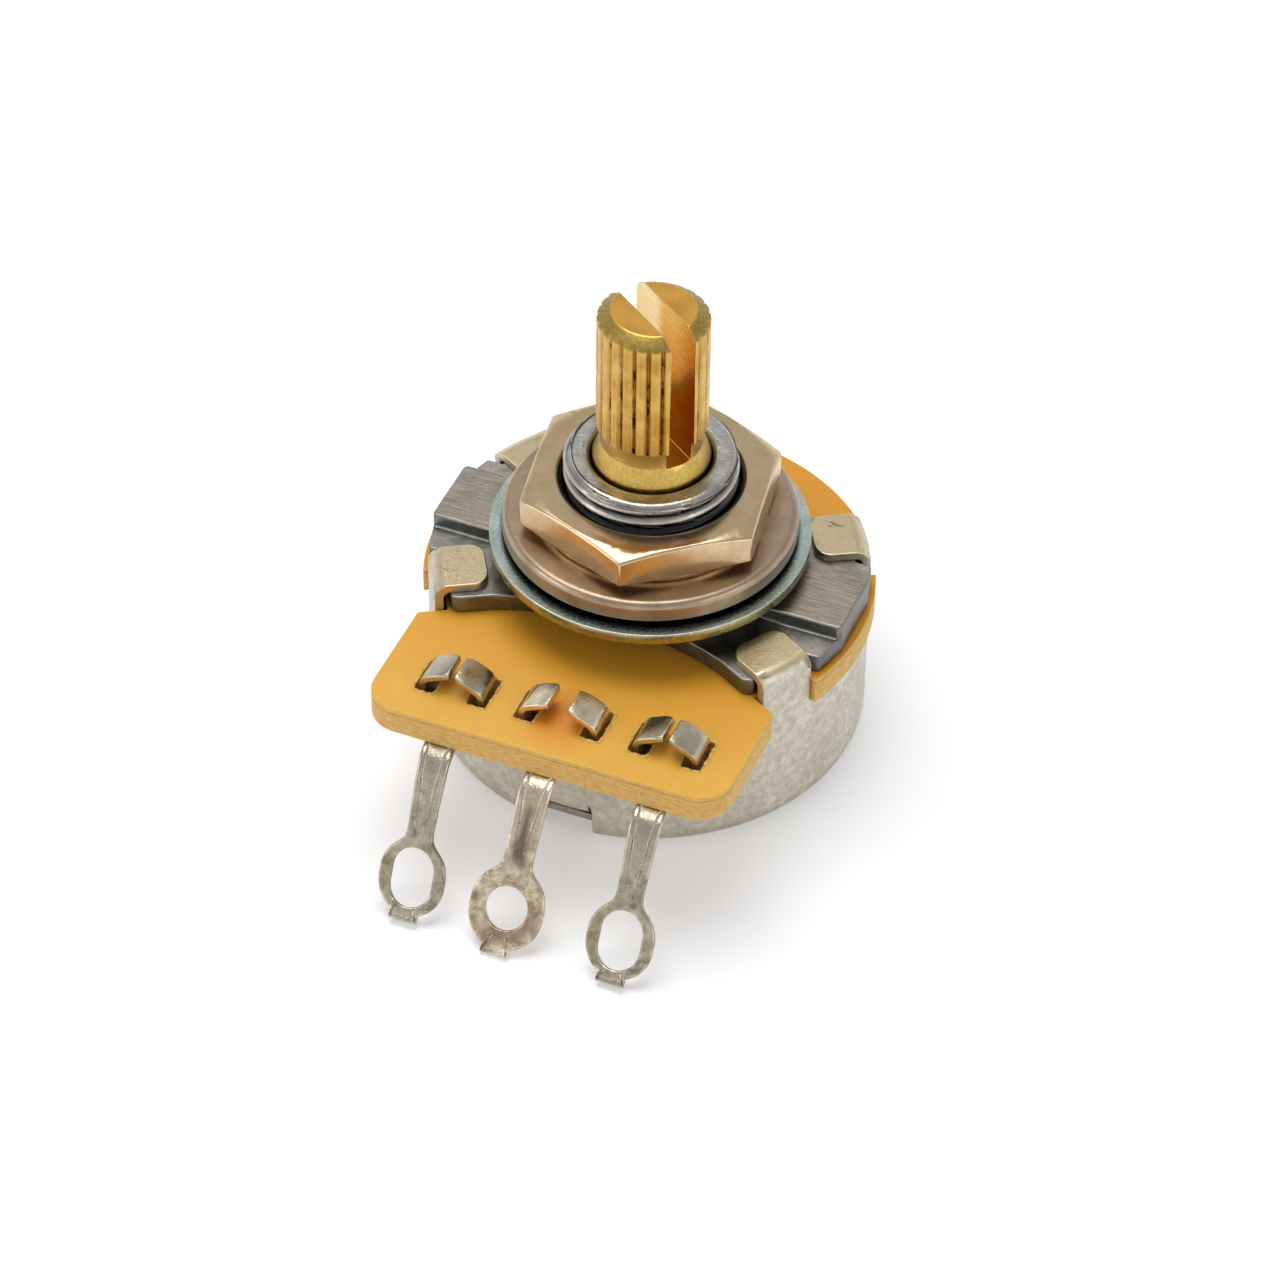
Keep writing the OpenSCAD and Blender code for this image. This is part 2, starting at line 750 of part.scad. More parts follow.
module shaft() {
  color("#c79a45")
    difference() {
      union() {
        translate([0, 0, hub_top])
          cylinder(h = bushing_top - hub_top, r = shaft_d / 2);
        translate([0, 0, bushing_top])
          cylinder(h = cone_l, r1 = shaft_d / 2, r2 = neck_r);
        translate([0, 0, bushing_top + cone_l])
          cylinder(h = neck_l, r = neck_r);
        knurled_end();
        tang();
      }
      translate([0, 0, ring_z - groove_play])
        difference() {
          cylinder(h = ring_t + 2 * groove_play, r = shaft_d);
          translate([0, 0, -eps])
            cylinder(h = ring_t + 4 * eps, r = groove_r);
        }
      translate([0, 0, bushing_top + cone_l])
        rotate([0, 0, slot_turn])
          translate([-shaft_d, -slot_w / 2, 0])
            cube([2 * shaft_d, slot_w, shaft_reach]);
    }
}

// The flatted tang through the rotor, its riveted end and the pip over the cover's back
module tang() {
  pip_z = cover_t + pip_gap;
  intersection() {
    translate([0, 0, hub_z])
      cylinder(h = hub_top - hub_z, r = tang_r);
    translate([-tang_r, -tang_flat, hub_z])
      cube([2 * tang_r, 2 * tang_flat, hub_top - hub_z]);
  }
  translate([0, 0, hub_z - rivet_h])
    cylinder(h = rivet_h, r1 = rivet_r - rivet_draft, r2 = rivet_r);
  translate([0, 0, pip_z])
    cylinder(h = hub_z - pip_z, r = pip_r);
}

module rotor() {
  hole_r = tang_r + tang_clear;
  hole_flat = tang_flat + tang_clear;
  color("#5a4632")
    difference() {
      union() {
        translate([0, 0, rotor_z])
          cylinder(h = rotor_t, r = rotor_r);
        translate([0, 0, hub_z])
          cylinder(h = hub_top - hub_z, r = hub_r);
        translate([0, 0, rotor_z - stop_lug_drop])
          linear_extrude(rotor_t + stop_lug_drop)
            intersection() {
              ring2(rotor_r - stop_lug_root, stop_lug_r);
              wedge2(90 - stop_lug_angle, 90 + stop_lug_angle, 2 * cover_r);
            }
      }
      intersection() {
        translate([0, 0, hub_z - eps])
          cylinder(h = hub_top - hub_z + 2 * eps, r = hole_r);
        translate([-hole_r, -hole_flat, hub_z - eps])
          cube([2 * hole_r, 2 * hole_flat, hub_top - hub_z + 2 * eps]);
      }
    }
}

// One wiper finger in section, from its root on the rotor up to a contact at z_tip and x = 0
module finger_profile(z_tip) {
  root_end = finger_root_x + finger_root_l;
  toe_x = finger_tip + finger_toe;
  toe_z = z_tip - finger_toe_drop;
  polygon([[-root_end, rotor_top], [-finger_root_x, rotor_top], [-finger_tip, z_tip - wiper_t],
    [finger_tip, z_tip - wiper_t], [toe_x, toe_z - wiper_t], [toe_x, toe_z], [finger_tip, z_tip],
    [-finger_tip, z_tip], [-finger_root_x, rotor_top + wiper_t], [-root_end, rotor_top + wiper_t]]);
}

// The wiper: a spring ring on the rotor with one finger on the track and one on the collector
module wiper_contact() {
  track_z = cover_h - film_t - wiper_gap;
  collector_z = cover_h - collector_t - wiper_gap;
  color("#d0b070") {
    translate([0, 0, rotor_top])
      linear_extrude(wiper_t)
        ring2(hub_r + wiper_hub_gap, collector_r_out);
    translate([0, track_mid_r, 0])
      slab_xz(wiper_w)
        finger_profile(track_z);
    translate([0, collector_mid_r, 0])
      slab_xz(wiper_w)
        finger_profile(collector_z);
    translate([0, 0, rotor_top])
      linear_extrude(wiper_t)
        box2(-finger_root_x - finger_root_l, wiper_strip_y, -finger_root_x, track_mid_r + wiper_w / 2);
  }
}

// The split ring in the shaft's groove
module retaining_ring() {
  color("#8a8d8f")
    translate([0, 0, ring_z])
      linear_extrude(ring_t)
        difference() {
          ring2(groove_r + ring_clear, ring_r);
          wedge2(-ring_mouth, ring_mouth, 2 * ring_r);
        }
}

// The dished washer that takes up the shaft's end play
module spring_washer() {
  spring_in = shaft_d / 2 + spring_clear;
  color("#a8a9a6")
    rotate_extrude()
      polygon([[spring_in, spring_z + spring_dish], [ring_r, spring_z],
        [ring_r, spring_z + spring_t], [spring_in, spring_z + spring_dish + spring_t]]);
}

module flat_washer() {
  rim = flat_washer_rim_r;
  r = flat_washer_d / 2;
  color("#9a8672")
    translate([0, 0, flat_washer_z])
      rotate_extrude() {
        box2(washer_hole_r, 0, r - rim, flat_washer_t);
        box2(washer_hole_r, 0, r, flat_washer_t - rim);
        translate([r - rim, flat_washer_t - rim])
          circle(rim);
      }
}

// The lock washer: a flat ring with twisted inner teeth
module lock_washer() {
  tooth_out_r = lock_ring_r + tooth_root;
  mid_z = boss_top + tooth_span / 2;
  color("#b5c4bd") {
    translate([0, 0, mid_z - lock_washer_t / 2])
      linear_extrude(lock_washer_t)
        ring2(lock_ring_r, lock_washer_d / 2);
    for (i = [0 : lock_teeth - 1])
      rotate([0, 0, (i + 0.5) * 360 / lock_teeth])
        translate([(tooth_in_r + tooth_out_r) / 2, 0, mid_z])
          rotate([lock_tooth_twist, 0, 0])
            cube([tooth_out_r - tooth_in_r, lock_tooth_w, lock_washer_t], center = true);
  }
}

// The hex nut: chamfered corners, a washer face below and a countersunk thread mouth
module hex_nut() {
  corner_r = nut_af / sqrt(3);
  face_r = nut_af / 2 - nut_face_inset;
  hole_r = thread_r + nut_clear;
  color("#c4aa82")
    translate([0, 0, nut_z])
      difference() {
        intersection() {
          rotate([0, 0, nut_turn])
            cylinder(h = nut_t, r = corner_r, $fn = 6);
          rotate_extrude()
            polygon([[0, 0], [face_r, 0], [face_r, nut_face_h], [corner_r, nut_face_h + nut_under_drop],
              [corner_r, nut_t - nut_corner_drop], [face_r, nut_t], [0, nut_t]]);
        }
        translate([0, 0, -eps])
          cylinder(h = nut_t + 2 * eps, r = hole_r);
        translate([0, 0, nut_t - nut_mouth])
          cylinder(h = nut_mouth + eps, r1 = hole_r, r2 = hole_r + nut_mouth + eps);
      }
}

cover();
mounting_plate();
element_wafer();
carbon_track();
silver_end(1);  // silver_end_left
silver_end(0);  // silver_end_right
collector_ring();
terminal_left();
terminal_centre();
terminal_right();
shaft();
rotor();
wiper_contact();
retaining_ring();
spring_washer();
flat_washer();
lock_washer();
hex_nut();
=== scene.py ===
# %% [markdown]
# Rotary potentiometer, dressed for a photograph.
#
# The object is a panel control about 34 mm long: a drawn steel cover, an amber phenolic wafer with three
# solder lugs, a die-cast mounting plate with a threaded bushing, a hex nut with two washers, and a split,
# knurled brass shaft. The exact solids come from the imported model, and this script adds what such solids
# leave out: broken edges, the bushing's thread, and the way each metal was rolled, cast, turned or plated.
# Everything is in metres, +Z runs up the shaft, and the lugs point towards -Y.

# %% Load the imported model
import math

import bmesh
import bpy
import numpy as np
from mathutils import Matrix, Vector


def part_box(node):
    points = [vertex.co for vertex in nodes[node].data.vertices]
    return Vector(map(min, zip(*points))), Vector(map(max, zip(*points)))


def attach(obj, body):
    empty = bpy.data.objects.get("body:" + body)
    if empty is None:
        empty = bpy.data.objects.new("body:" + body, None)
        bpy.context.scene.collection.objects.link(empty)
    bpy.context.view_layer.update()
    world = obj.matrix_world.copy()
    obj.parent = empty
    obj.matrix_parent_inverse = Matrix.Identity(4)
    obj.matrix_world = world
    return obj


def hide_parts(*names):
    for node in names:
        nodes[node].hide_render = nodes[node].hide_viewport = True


MM = 0.001
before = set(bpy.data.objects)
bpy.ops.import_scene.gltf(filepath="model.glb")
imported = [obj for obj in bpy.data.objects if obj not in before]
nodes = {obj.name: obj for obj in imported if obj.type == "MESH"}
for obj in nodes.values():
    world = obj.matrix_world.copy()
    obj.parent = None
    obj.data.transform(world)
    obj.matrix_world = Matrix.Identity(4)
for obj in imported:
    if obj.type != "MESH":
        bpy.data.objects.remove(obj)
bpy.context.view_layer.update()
print("pieces:", ", ".join(sorted(nodes)))

# %% [markdown]
# The camera. A product photograph of something this small is taken from about a forearm's length with a
# long lens, so that the round parts stay round. The camera could be aimed with a Track To constraint, but
# its three axes are easy to write down: `back` points from the object to the camera, `right` lies level,
# and `up` is square to both. A small roll turns the last two together.

# %% Place the camera
def new_object(name, data):
    """An object of the given data, put in the scene."""
    made = bpy.data.objects.new(name, data)
    bpy.context.scene.collection.objects.link(made)
    return made


CAMERA_AZIMUTH = math.radians(21.69)
CAMERA_ELEVATION = math.radians(42.54)
CAMERA_ROLL = math.radians(0.90)
CAMERA_DISTANCE = 280 * MM
CAMERA_AIM = Vector((0.652, -2.884, 6.817)) * MM
CAMERA_LENS = 145.33

sin_a, cos_a = math.sin(CAMERA_AZIMUTH), math.cos(CAMERA_AZIMUTH)
sin_e, cos_e = math.sin(CAMERA_ELEVATION), math.cos(CAMERA_ELEVATION)
back = Vector((sin_a * cos_e, -cos_a * cos_e, sin_e))
right = Vector((cos_a, sin_a, 0))
up = back.cross(right)
tilted_right = right * math.cos(CAMERA_ROLL) + up * math.sin(CAMERA_ROLL)
tilted_up = back.cross(tilted_right)

camera = new_object("camera", bpy.data.cameras.new("camera"))
camera.data.sensor_width = 36
camera.data.lens = CAMERA_LENS
camera.data.clip_start = 0.01
camera.data.clip_end = 10
turn = Matrix((tilted_right, tilted_up, back)).transposed().to_4x4()
camera.matrix_world = Matrix.Translation(CAMERA_AIM + CAMERA_DISTANCE * back) @ turn
bpy.context.scene.camera = camera
print("camera at", [round(c / MM, 1) for c in camera.matrix_world.translation], "mm")

# %% [markdown]
# The light. The photograph was taken on a white sweep under a big soft lamp that hangs a little behind and
# to the left, with a dimmer fill from the front. Metal shows what stands round it, so the room matters as
# much as the lamps: a white floor, a white horizon and a dimmer ceiling. A lamp's watts follow from how
# bright its face should look, because a flat lamp of area A and radiance L gives pi x A x L watts.

# %% Hang the lamps
def softbox(name, place, size, radiance, aim=(0, 0, 0.01)):
    """A square area lamp at place, facing aim, whose face has the given radiance."""
    lamp = bpy.data.lights.new(name, "AREA")
    lamp.shape = "SQUARE"
    lamp.size = size
    lamp.energy = math.pi * size * size * radiance
    holder = new_object(name, lamp)
    facing = Vector(aim) - Vector(place)
    holder.matrix_world = Matrix.Translation(place) @ facing.to_track_quat("-Z", "Y").to_matrix().to_4x4()
    print(name, "gives", round(lamp.energy, 2), "W")


softbox("overhead softbox", (-0.08, 0.06, 0.42), 0.30, 3.2)
softbox("left fill", (-0.34, -0.26, 0.22), 0.24, 1.5)
softbox("right fill", (0.36, -0.10, 0.20), 0.20, 1.25)

# %% [markdown]
# One helper adds every shader node. `inputs` gives each socket a number, a colour or the output of another
# node, and whatever else is named is set on the node itself. Colours are written as on a web page, which
# is sRGB, and Blender's shaders add up light, which is linear, so one function turns one into the other.

# %% Helpers for materials
# Sockets of a colour Mix node: its factor and its two colours
FAC, A, B = 0, 6, 7
# One over a length in millimetres gives a noise about one blotch per that length
PER_MM = 1000


def linear(code):
    """sRGB hex to linear: x / 12.92 below 0.04045, and ((x + 0.055) / 1.055) to the 2.4th above."""
    srgb = np.array([int(code[i : i + 2], 16) for i in (1, 3, 5)]) / 255
    low = srgb / 12.92
    high = ((srgb + 0.055) / 1.055) ** 2.4
    return (*np.where(srgb < 0.04045, low, high).tolist(), 1.0)


def add(tree, kind, inputs=None, **settings):
    """Adds one shader node, applies its settings, and fills its sockets. A socket takes a value, a
    colour's code, another node's output, or a whole node, which stands for its first output in use. A
    Mix node mixes colours when it is given the colour sockets, and numbers otherwise. A Math node
    multiplies unless its operation is given."""
    node = tree.nodes.new("ShaderNode" + kind)
    if kind == "Mix" and A in inputs:
        node.data_type = "RGBA"
    if kind == "Math":
        node.operation = "MULTIPLY"
    for name, value in settings.items():
        setattr(node, name, value)
    for key, value in (inputs or {}).items():
        if isinstance(value, str):
            value = linear(value)
        if isinstance(value, bpy.types.Node):
            value = next(output for output in value.outputs if output.enabled)
        if isinstance(value, bpy.types.NodeSocket):
            tree.links.new(value, node.inputs[key])
        else:
            node.inputs[key].default_value = value
    return node


def material(name, **principled):
    """A material by name, whose keywords set sockets of its Principled shader. Also returned are its
    tree, that shader, and the piece's own coordinates, in metres."""
    made = bpy.data.materials.new(name)
    made.use_nodes = True
    shader = made.node_tree.nodes["Principled BSDF"]
    for key, value in principled.items():
        shader.inputs[key.replace("_", " ").title().replace("Ior", "IOR")].default_value = value
    return made, made.node_tree, shader, add(made.node_tree, "TexCoord").outputs["Object"]


def blotches(tree, way, size, low, high, most=1, **noise):
    """A noise with blotches of about size mm, and a ramp that climbs to most while the noise goes from low
    to high. Keywords set the noise's own sockets."""
    made = add(tree, "TexNoise", {"Vector": way, "Scale": PER_MM / size, **noise})
    return made, add(tree, "MapRange", {0: made, 1: low, 2: high, 4: most})


def band(tree, way, low, full_low, full_high, high):
    """One between full_low and full_high, in mm, sinking to zero at low and at high."""
    rise = add(tree, "MapRange", {0: way, 1: low * MM, 2: full_low * MM})
    fall = add(tree, "MapRange", {0: way, 1: high * MM, 2: full_high * MM})
    return add(tree, "Math", {0: rise, 1: fall})


def from_axis(tree, way):
    """Distance from the shaft's axis: the length of a place whose height is left out."""
    flat = add(tree, "VectorMath", {0: way, 1: (1, 1, 0)}, operation="MULTIPLY")
    return add(tree, "VectorMath", {0: flat}, operation="LENGTH").outputs["Value"]


def upward(tree):
    """How squarely the surface faces up, from -1 to 1: the height of its normal."""
    return add(tree, "SeparateXYZ", {0: add(tree, "TexCoord").outputs["Normal"]}).outputs["Z"]


def wire(tree, shader, relief=None, **sockets):
    """Links nodes to the shader's sockets, which are named by keyword. relief is a node that gives the
    skin's height, how strongly it shows, and its depth in mm."""
    if relief:
        height, strength, depth = relief
        sockets["normal"] = add(tree, "Bump", {"Height": height, "Strength": strength, "Distance": depth * MM})
    for key, node in sockets.items():
        output = next(output for output in node.outputs if output.enabled)
        tree.links.new(output, shader.inputs[key.replace("_", " ").title()])


print("white is", linear("#ffffff"))

# %% [markdown]
# The room and the floor. The background is white for the eye and for the metal, which mirrors it, while
# matt surfaces are lit by a dimmer, even sky. Light Path tells the two apart. The ceiling is greyer than the
# horizon, as in a real studio, or else every flat metal top would wash out. The floor is white paper: its
# own shading keeps the soft shadow, and a small glow lifts the open paper to pure white.

# %% Paint the room
SKY_LIGHT = 0.36


def seen_directly(tree):
    """One for rays from the camera and those that metal mirrors or glass lets through, else zero."""
    seen = add(tree, "LightPath")
    mirrored = add(tree, "Math", {0: seen.outputs["Is Camera Ray"], 1: seen.outputs["Is Glossy Ray"]},
                   operation="MAXIMUM")
    return add(tree, "Math", {0: mirrored, 1: seen.outputs["Is Transmission Ray"]}, operation="MAXIMUM")


world = bpy.data.worlds.new("studio")
bpy.context.scene.world = world
world.use_nodes = True
tree = world.node_tree
tree.nodes.clear()
heading = add(tree, "TexCoord")
height = add(tree, "SeparateXYZ", {0: heading.outputs["Generated"]})
climb = add(tree, "MapRange", {0: height.outputs["Z"], 1: 0.12, 2: 0.62}, interpolation_type="SMOOTHSTEP")
backdrop = add(tree, "Mix", {FAC: climb, A: "#ffffff", B: "#c2c2c0"})
sky = add(tree, "Background", {0: "#f7faff", 1: SKY_LIGHT})
picture = add(tree, "Background", {0: backdrop, 1: 1})
either = add(tree, "MixShader", {0: seen_directly(tree), 1: sky, 2: picture})
add(tree, "OutputWorld", {"Surface": either})
print("sky lights matt surfaces at", SKY_LIGHT)

# %% Lay the floor
FLOOR_GLOW = 0.30
FLOOR_HALF = 3.0

paper, tree, shader, _ = material("white sweep paper", base_color=linear("#f4f5f7"), roughness=0.9)
level = add(tree, "Math", {0: seen_directly(tree), 1: FLOOR_GLOW})
glow = add(tree, "Emission", {"Color": "#ffffff", "Strength": level})
both = add(tree, "AddShader", {0: shader, 1: glow})
tree.links.new(both.outputs[0], tree.nodes["Material Output"].inputs["Surface"])

corners = [(sx * FLOOR_HALF, sy * FLOOR_HALF, 0) for sx, sy in ((-1, -1), (1, -1), (1, 1), (-1, 1))]
sheet = bpy.data.meshes.new("floor")
sheet.from_pydata(corners, [], [(0, 1, 2, 3)])
sheet.materials.append(paper)
floor = new_object("floor", sheet)
print("floor", 2 * FLOOR_HALF, "m square")

# %% [markdown]
# The bushing's thread. On the real object it is cast with the plate, so its crests are rounded and its
# lip is soft. It could be a Screw modifier on a profile, but then the end of the thread would have to be cut
# to shape. Here it is one surface of two parameters instead: the angle round the bushing, and the distance
# along a closed section that runs up the outside, in across the end, and down the bore. The helix only
# changes the radius of the outside, by a wave that moves up one pitch in each turn, and the end's chamfer
# cuts the last turn off, so that it runs out as a cut thread does.

# %% Shape the bushing
BOSS_TOP = 11.35
BUSHING_TOP = 17.8
THREAD_R = 4.7625
THREAD_DEPTH = 0.40
THREAD_PITCH = 0.794
CREST_Z = 17.66
LEAD_R = 4.39
BORE_R = 3.225
MOUTH = 0.3
SINK = 0.01
CREST_POWER = 0.8
CHAMFER_BLEND = 0.15


def grid_shells(name, rings, tubes=()):
    """One mesh of closed shells from points[i, j] in mm. Rings wrap both ways. Tubes wrap along j only, and
    have a flat face at each end."""
    vertices, faces, count = [], [], 0
    for points, wraps in [(ring, True) for ring in rings] + [(tube, False) for tube in tubes]:
        rows, columns = points.shape[:2]
        index = np.arange(rows * columns).reshape(rows, columns) + count
        ahead = np.roll(index, -1, axis=0)
        quads = np.stack([index, np.roll(index, -1, axis=1), np.roll(ahead, -1, axis=1), ahead], axis=-1)
        faces += (quads if wraps else quads[:-1]).reshape(-1, 4).tolist()
        if not wraps:
            faces += [index[0].tolist(), index[-1][::-1].tolist()]
        vertices += (points.reshape(-1, 3) * MM).tolist()
        count += rows * columns
    made = bpy.data.meshes.new(name)
    made.from_pydata(vertices, [], faces)
    shape = bmesh.new()
    shape.from_mesh(made)
    bmesh.ops.recalc_face_normals(shape, faces=shape.faces)
    shape.to_mesh(made)
    shape.free()
    return made


def soft_min(a, b, blend):
    """The smaller of a and b, with the corner between them rounded over about the width blend."""
    mix = np.clip(0.5 + 0.5 * (b - a) / blend, 0, 1)
    return b + (a - b) * mix - blend * mix * (1 - mix)


def bushing_points(columns=288, step=0.055):
    """Section in r and z: up the outside, in across the top, down a 45 degree mouth and down the bore. The
    thread's radius is THREAD_R less its depth times one minus a power of a raised cosine of
    z / pitch - angle / turn. The outside takes the smaller of that and of a 45 degree chamfer that ends at
    LEAD_R."""
    base = BOSS_TOP - SINK
    wall_z = np.arange(base, BUSHING_TOP - 0.03, step)[:, None]
    angle = np.linspace(0, 2 * math.pi, columns, endpoint=False)
    phase = (wall_z - CREST_Z) / THREAD_PITCH - angle / (2 * math.pi)
    crest = (0.5 + 0.5 * np.cos(2 * math.pi * phase)) ** CREST_POWER
    chamfer = LEAD_R + BUSHING_TOP - wall_z
    wall_r = soft_min(THREAD_R - THREAD_DEPTH * (1 - crest), np.minimum(THREAD_R, chamfer), CHAMFER_BLEND)
    mouth_r = BORE_R + MOUTH
    rest = np.array([[4.33, BUSHING_TOP - 0.006], [4.28, BUSHING_TOP], [3.8, BUSHING_TOP],
                     [mouth_r + 0.04, BUSHING_TOP], [mouth_r, BUSHING_TOP - 0.012], [BORE_R, BUSHING_TOP - MOUTH],
                     [BORE_R, 16.5], [BORE_R, 14.0], [BORE_R, base], [3.8, base]])
    r = np.concatenate([wall_r, np.repeat(rest[:, :1], columns, axis=1)])
    z = np.concatenate([np.repeat(wall_z, columns, axis=1), np.repeat(rest[:, 1:], columns, axis=1)])
    return np.stack([r * np.cos(angle), r * np.sin(angle), z], axis=-1)


threaded = grid_shells("threaded bushing", [bushing_points()])
print("bushing", len(threaded.polygons), "quads")

# %% [markdown]
# The cast plate itself is right as it is in the solids, apart from the plain cylinder where the thread goes.
# A copy of its mesh is cut off just above the boss, the open end is closed with a ring of faces, and the
# threaded bushing is set on it, sunk by a hundredth of a millimetre.

# %% Join the bushing to its plate
def plate_below(height, extra):
    """The plate's mesh with everything above height cut away and capped, and the mesh extra added."""
    shape = bmesh.new()
    shape.from_mesh(nodes["mounting_plate"].data)
    bmesh.ops.remove_doubles(shape, verts=shape.verts, dist=1e-6)
    everything = shape.verts[:] + shape.edges[:] + shape.faces[:]
    bmesh.ops.bisect_plane(shape, geom=everything, plane_co=(0, 0, height), plane_no=(0, 0, 1), clear_outer=True)
    rim = [edge for edge in shape.edges if edge.is_boundary]
    bmesh.ops.bridge_loops(shape, edges=rim)
    bmesh.ops.recalc_face_normals(shape, faces=shape.faces)
    shape.from_mesh(extra)
    made = bpy.data.meshes.new("cast_plate")
    shape.to_mesh(made)
    shape.free()
    return made


plate_mesh = plate_below((BOSS_TOP + 0.02) * MM, threaded)
cast_plate = new_object("cast_plate", plate_mesh)
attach(cast_plate, "housing")
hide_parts("mounting_plate")
print("plate", len(plate_mesh.polygons), "faces")

# %% [markdown]
# The cover's tabs. On the real cover the four tabs nearly fill their notches in the wafer, and folding them
# over has spread them a little more. The solids have them narrower, for clearance. So the cover is copied,
# and each point of a tab moves sideways in proportion to its distance from the tab's middle, round the
# shaft's axis, which keeps it on the surface that the cover was drawn to.

# %% Spread the tabs
RIM_TOP = 7.6
TAB_ANGLES = (-30, 30, 150, 210)
TAB_HALF = 1.4
TAB_SPREAD = 1.17


def spread_tabs(name):
    """Tab points are those at or above the rim. Their offset v from the tab's middle line becomes v times
    TAB_SPREAD, and their place u along it becomes the root of r squared minus v squared."""
    shape = bmesh.new()
    shape.from_mesh(nodes["cover"].data)
    bmesh.ops.remove_doubles(shape, verts=shape.verts, dist=1e-6)
    made = bpy.data.meshes.new(name)
    shape.to_mesh(made)
    shape.free()
    flat = np.empty(3 * len(made.vertices))
    made.vertices.foreach_get("co", flat)
    x, y, z = flat.reshape(-1, 3).T / MM
    for angle in np.radians(TAB_ANGLES):
        u = x * math.cos(angle) + y * math.sin(angle)
        v = y * math.cos(angle) - x * math.sin(angle)
        tab = (z > RIM_TOP - 0.005) & (np.abs(v) < TAB_HALF + 0.005) & (u > 0)
        wider = v * TAB_SPREAD
        along = np.sqrt(np.maximum(u * u + v * v - wider * wider, 0))
        x = np.where(tab, along * math.cos(angle) - wider * math.sin(angle), x)
        y = np.where(tab, along * math.sin(angle) + wider * math.cos(angle), y)
    made.vertices.foreach_set("co", (np.stack([x, y, z], axis=1) * MM).ravel())
    made.update()
    return made


drawn_cover = new_object("drawn_cover", spread_tabs("drawn_cover"))
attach(drawn_cover, "housing")
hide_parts("cover")
print("tabs now", round(2 * TAB_HALF * TAB_SPREAD, 2), "mm wide")

# %% [markdown]
# The torn rims of the prong slots. The slots are punched through the wafer, and as the prongs are staked
# the board's top layer lifts into a thin, pale ridge round each slot. A Curve with a bevel would do, but the
# ridge should be ragged, so it is a surface of two parameters again: one runs round the slot along a
# rectangle with rounded corners, and the other round the ridge's small oval section.

# %% Raise the slot rims
WAFER_TOP = 9.2
ROW_SHIFT = 0.15
LUG_PITCH = 6.1
PRONG_Y = -12.3
SLOT_HALF = 1.2
OUTER_SLOT = (0.90, 2.10)
CENTRE_SLOT = (1.30, 2.50)


def slot_rim(x0, x1, seed, around=160, section=8):
    """Path: a superellipse of power 8 round the slot, 0.03 mm outside it. Section: an oval 0.07 mm wide and
    0.035 mm high to each side, both scaled by one plus three sines of the way round."""
    t = np.linspace(0, 2 * math.pi, around, endpoint=False)[:, None]
    s = np.linspace(0, 2 * math.pi, section, endpoint=False)
    cos_t, sin_t = np.cos(t), np.sin(t)
    size = (np.abs(cos_t) ** 8 + np.abs(sin_t) ** 8) ** (-1 / 8)
    half_x, half_y = (x1 - x0) / 2 + 0.03, SLOT_HALF + 0.03
    path = np.stack([half_x * size * cos_t, half_y * size * sin_t], axis=-1)
    along = np.roll(path, -1, axis=0) - np.roll(path, 1, axis=0)
    out = np.stack([along[..., 1], -along[..., 0]], axis=-1)
    out /= np.linalg.norm(out, axis=-1, keepdims=True)
    ragged = 1 + 0.3 * np.sin(9 * t + seed) + 0.2 * np.sin(23 * t + 2 * seed) + 0.15 * np.sin(41 * t + 5 * seed)
    flat = path + out * (0.07 * ragged * np.cos(s))[..., None]
    z = WAFER_TOP + 0.035 * ragged * np.sin(s)
    middle = np.array([(x0 + x1) / 2, PRONG_Y])
    return np.concatenate([flat + middle, z[..., None]], axis=-1)


rims = []
for lug in (-1, 0, 1):
    for side in (-1, 1):
        near, far = OUTER_SLOT if lug else CENTRE_SLOT
        x0, x1 = sorted((side * near, side * far))
        shift = lug * LUG_PITCH + ROW_SHIFT
        rims.append(slot_rim(x0 + shift, x1 + shift, 3 * lug + side + 7))
rim_mesh = grid_shells("slot_rims", rims)
rim_mesh.shade_smooth()
slot_rims = new_object("slot_rims", rim_mesh)
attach(slot_rims, "housing")
print("slot rims", len(rim_mesh.polygons), "quads")

# %% [markdown]
# The solder lugs. On the real object each is one stamping of tinned brass: a press shears the outline and
# rolls its edges over, bends the strap down in front of the wafer, and curls the two prongs over the
# wafer's top. A bevel on the solids would give neither the soft curls nor the swept bend, so the three are
# made again from formulas, on the same places and widths. The strap and eye are one sheet: columns fan out
# from the eye's hole, and the sheet is then laid on its bent path. Prongs, base and tongue are swept strips.

# %% Sheet outline of a lug
SHEET = 0.4
EDGE_ROUND = 0.12
STRAP_END = 9.1
EYE_STRETCH = 0.22
STUB_HALF = 0.78
STUB_LENGTH = 0.30
OUTER_EYE = dict(eye_r=1.84, hole_r=1.17, hole_extra=0.85, strap_low=0.70, strap_high=0.86)
CENTRE_EYE = dict(eye_r=2.05, hole_r=1.18, hole_extra=0.0, strap_low=0.78, strap_high=0.88)


def soft_max(a, b, blend):
    """The larger of a and b, with the corner between them filled over about the width blend."""
    return -soft_min(-a, -b, blend)


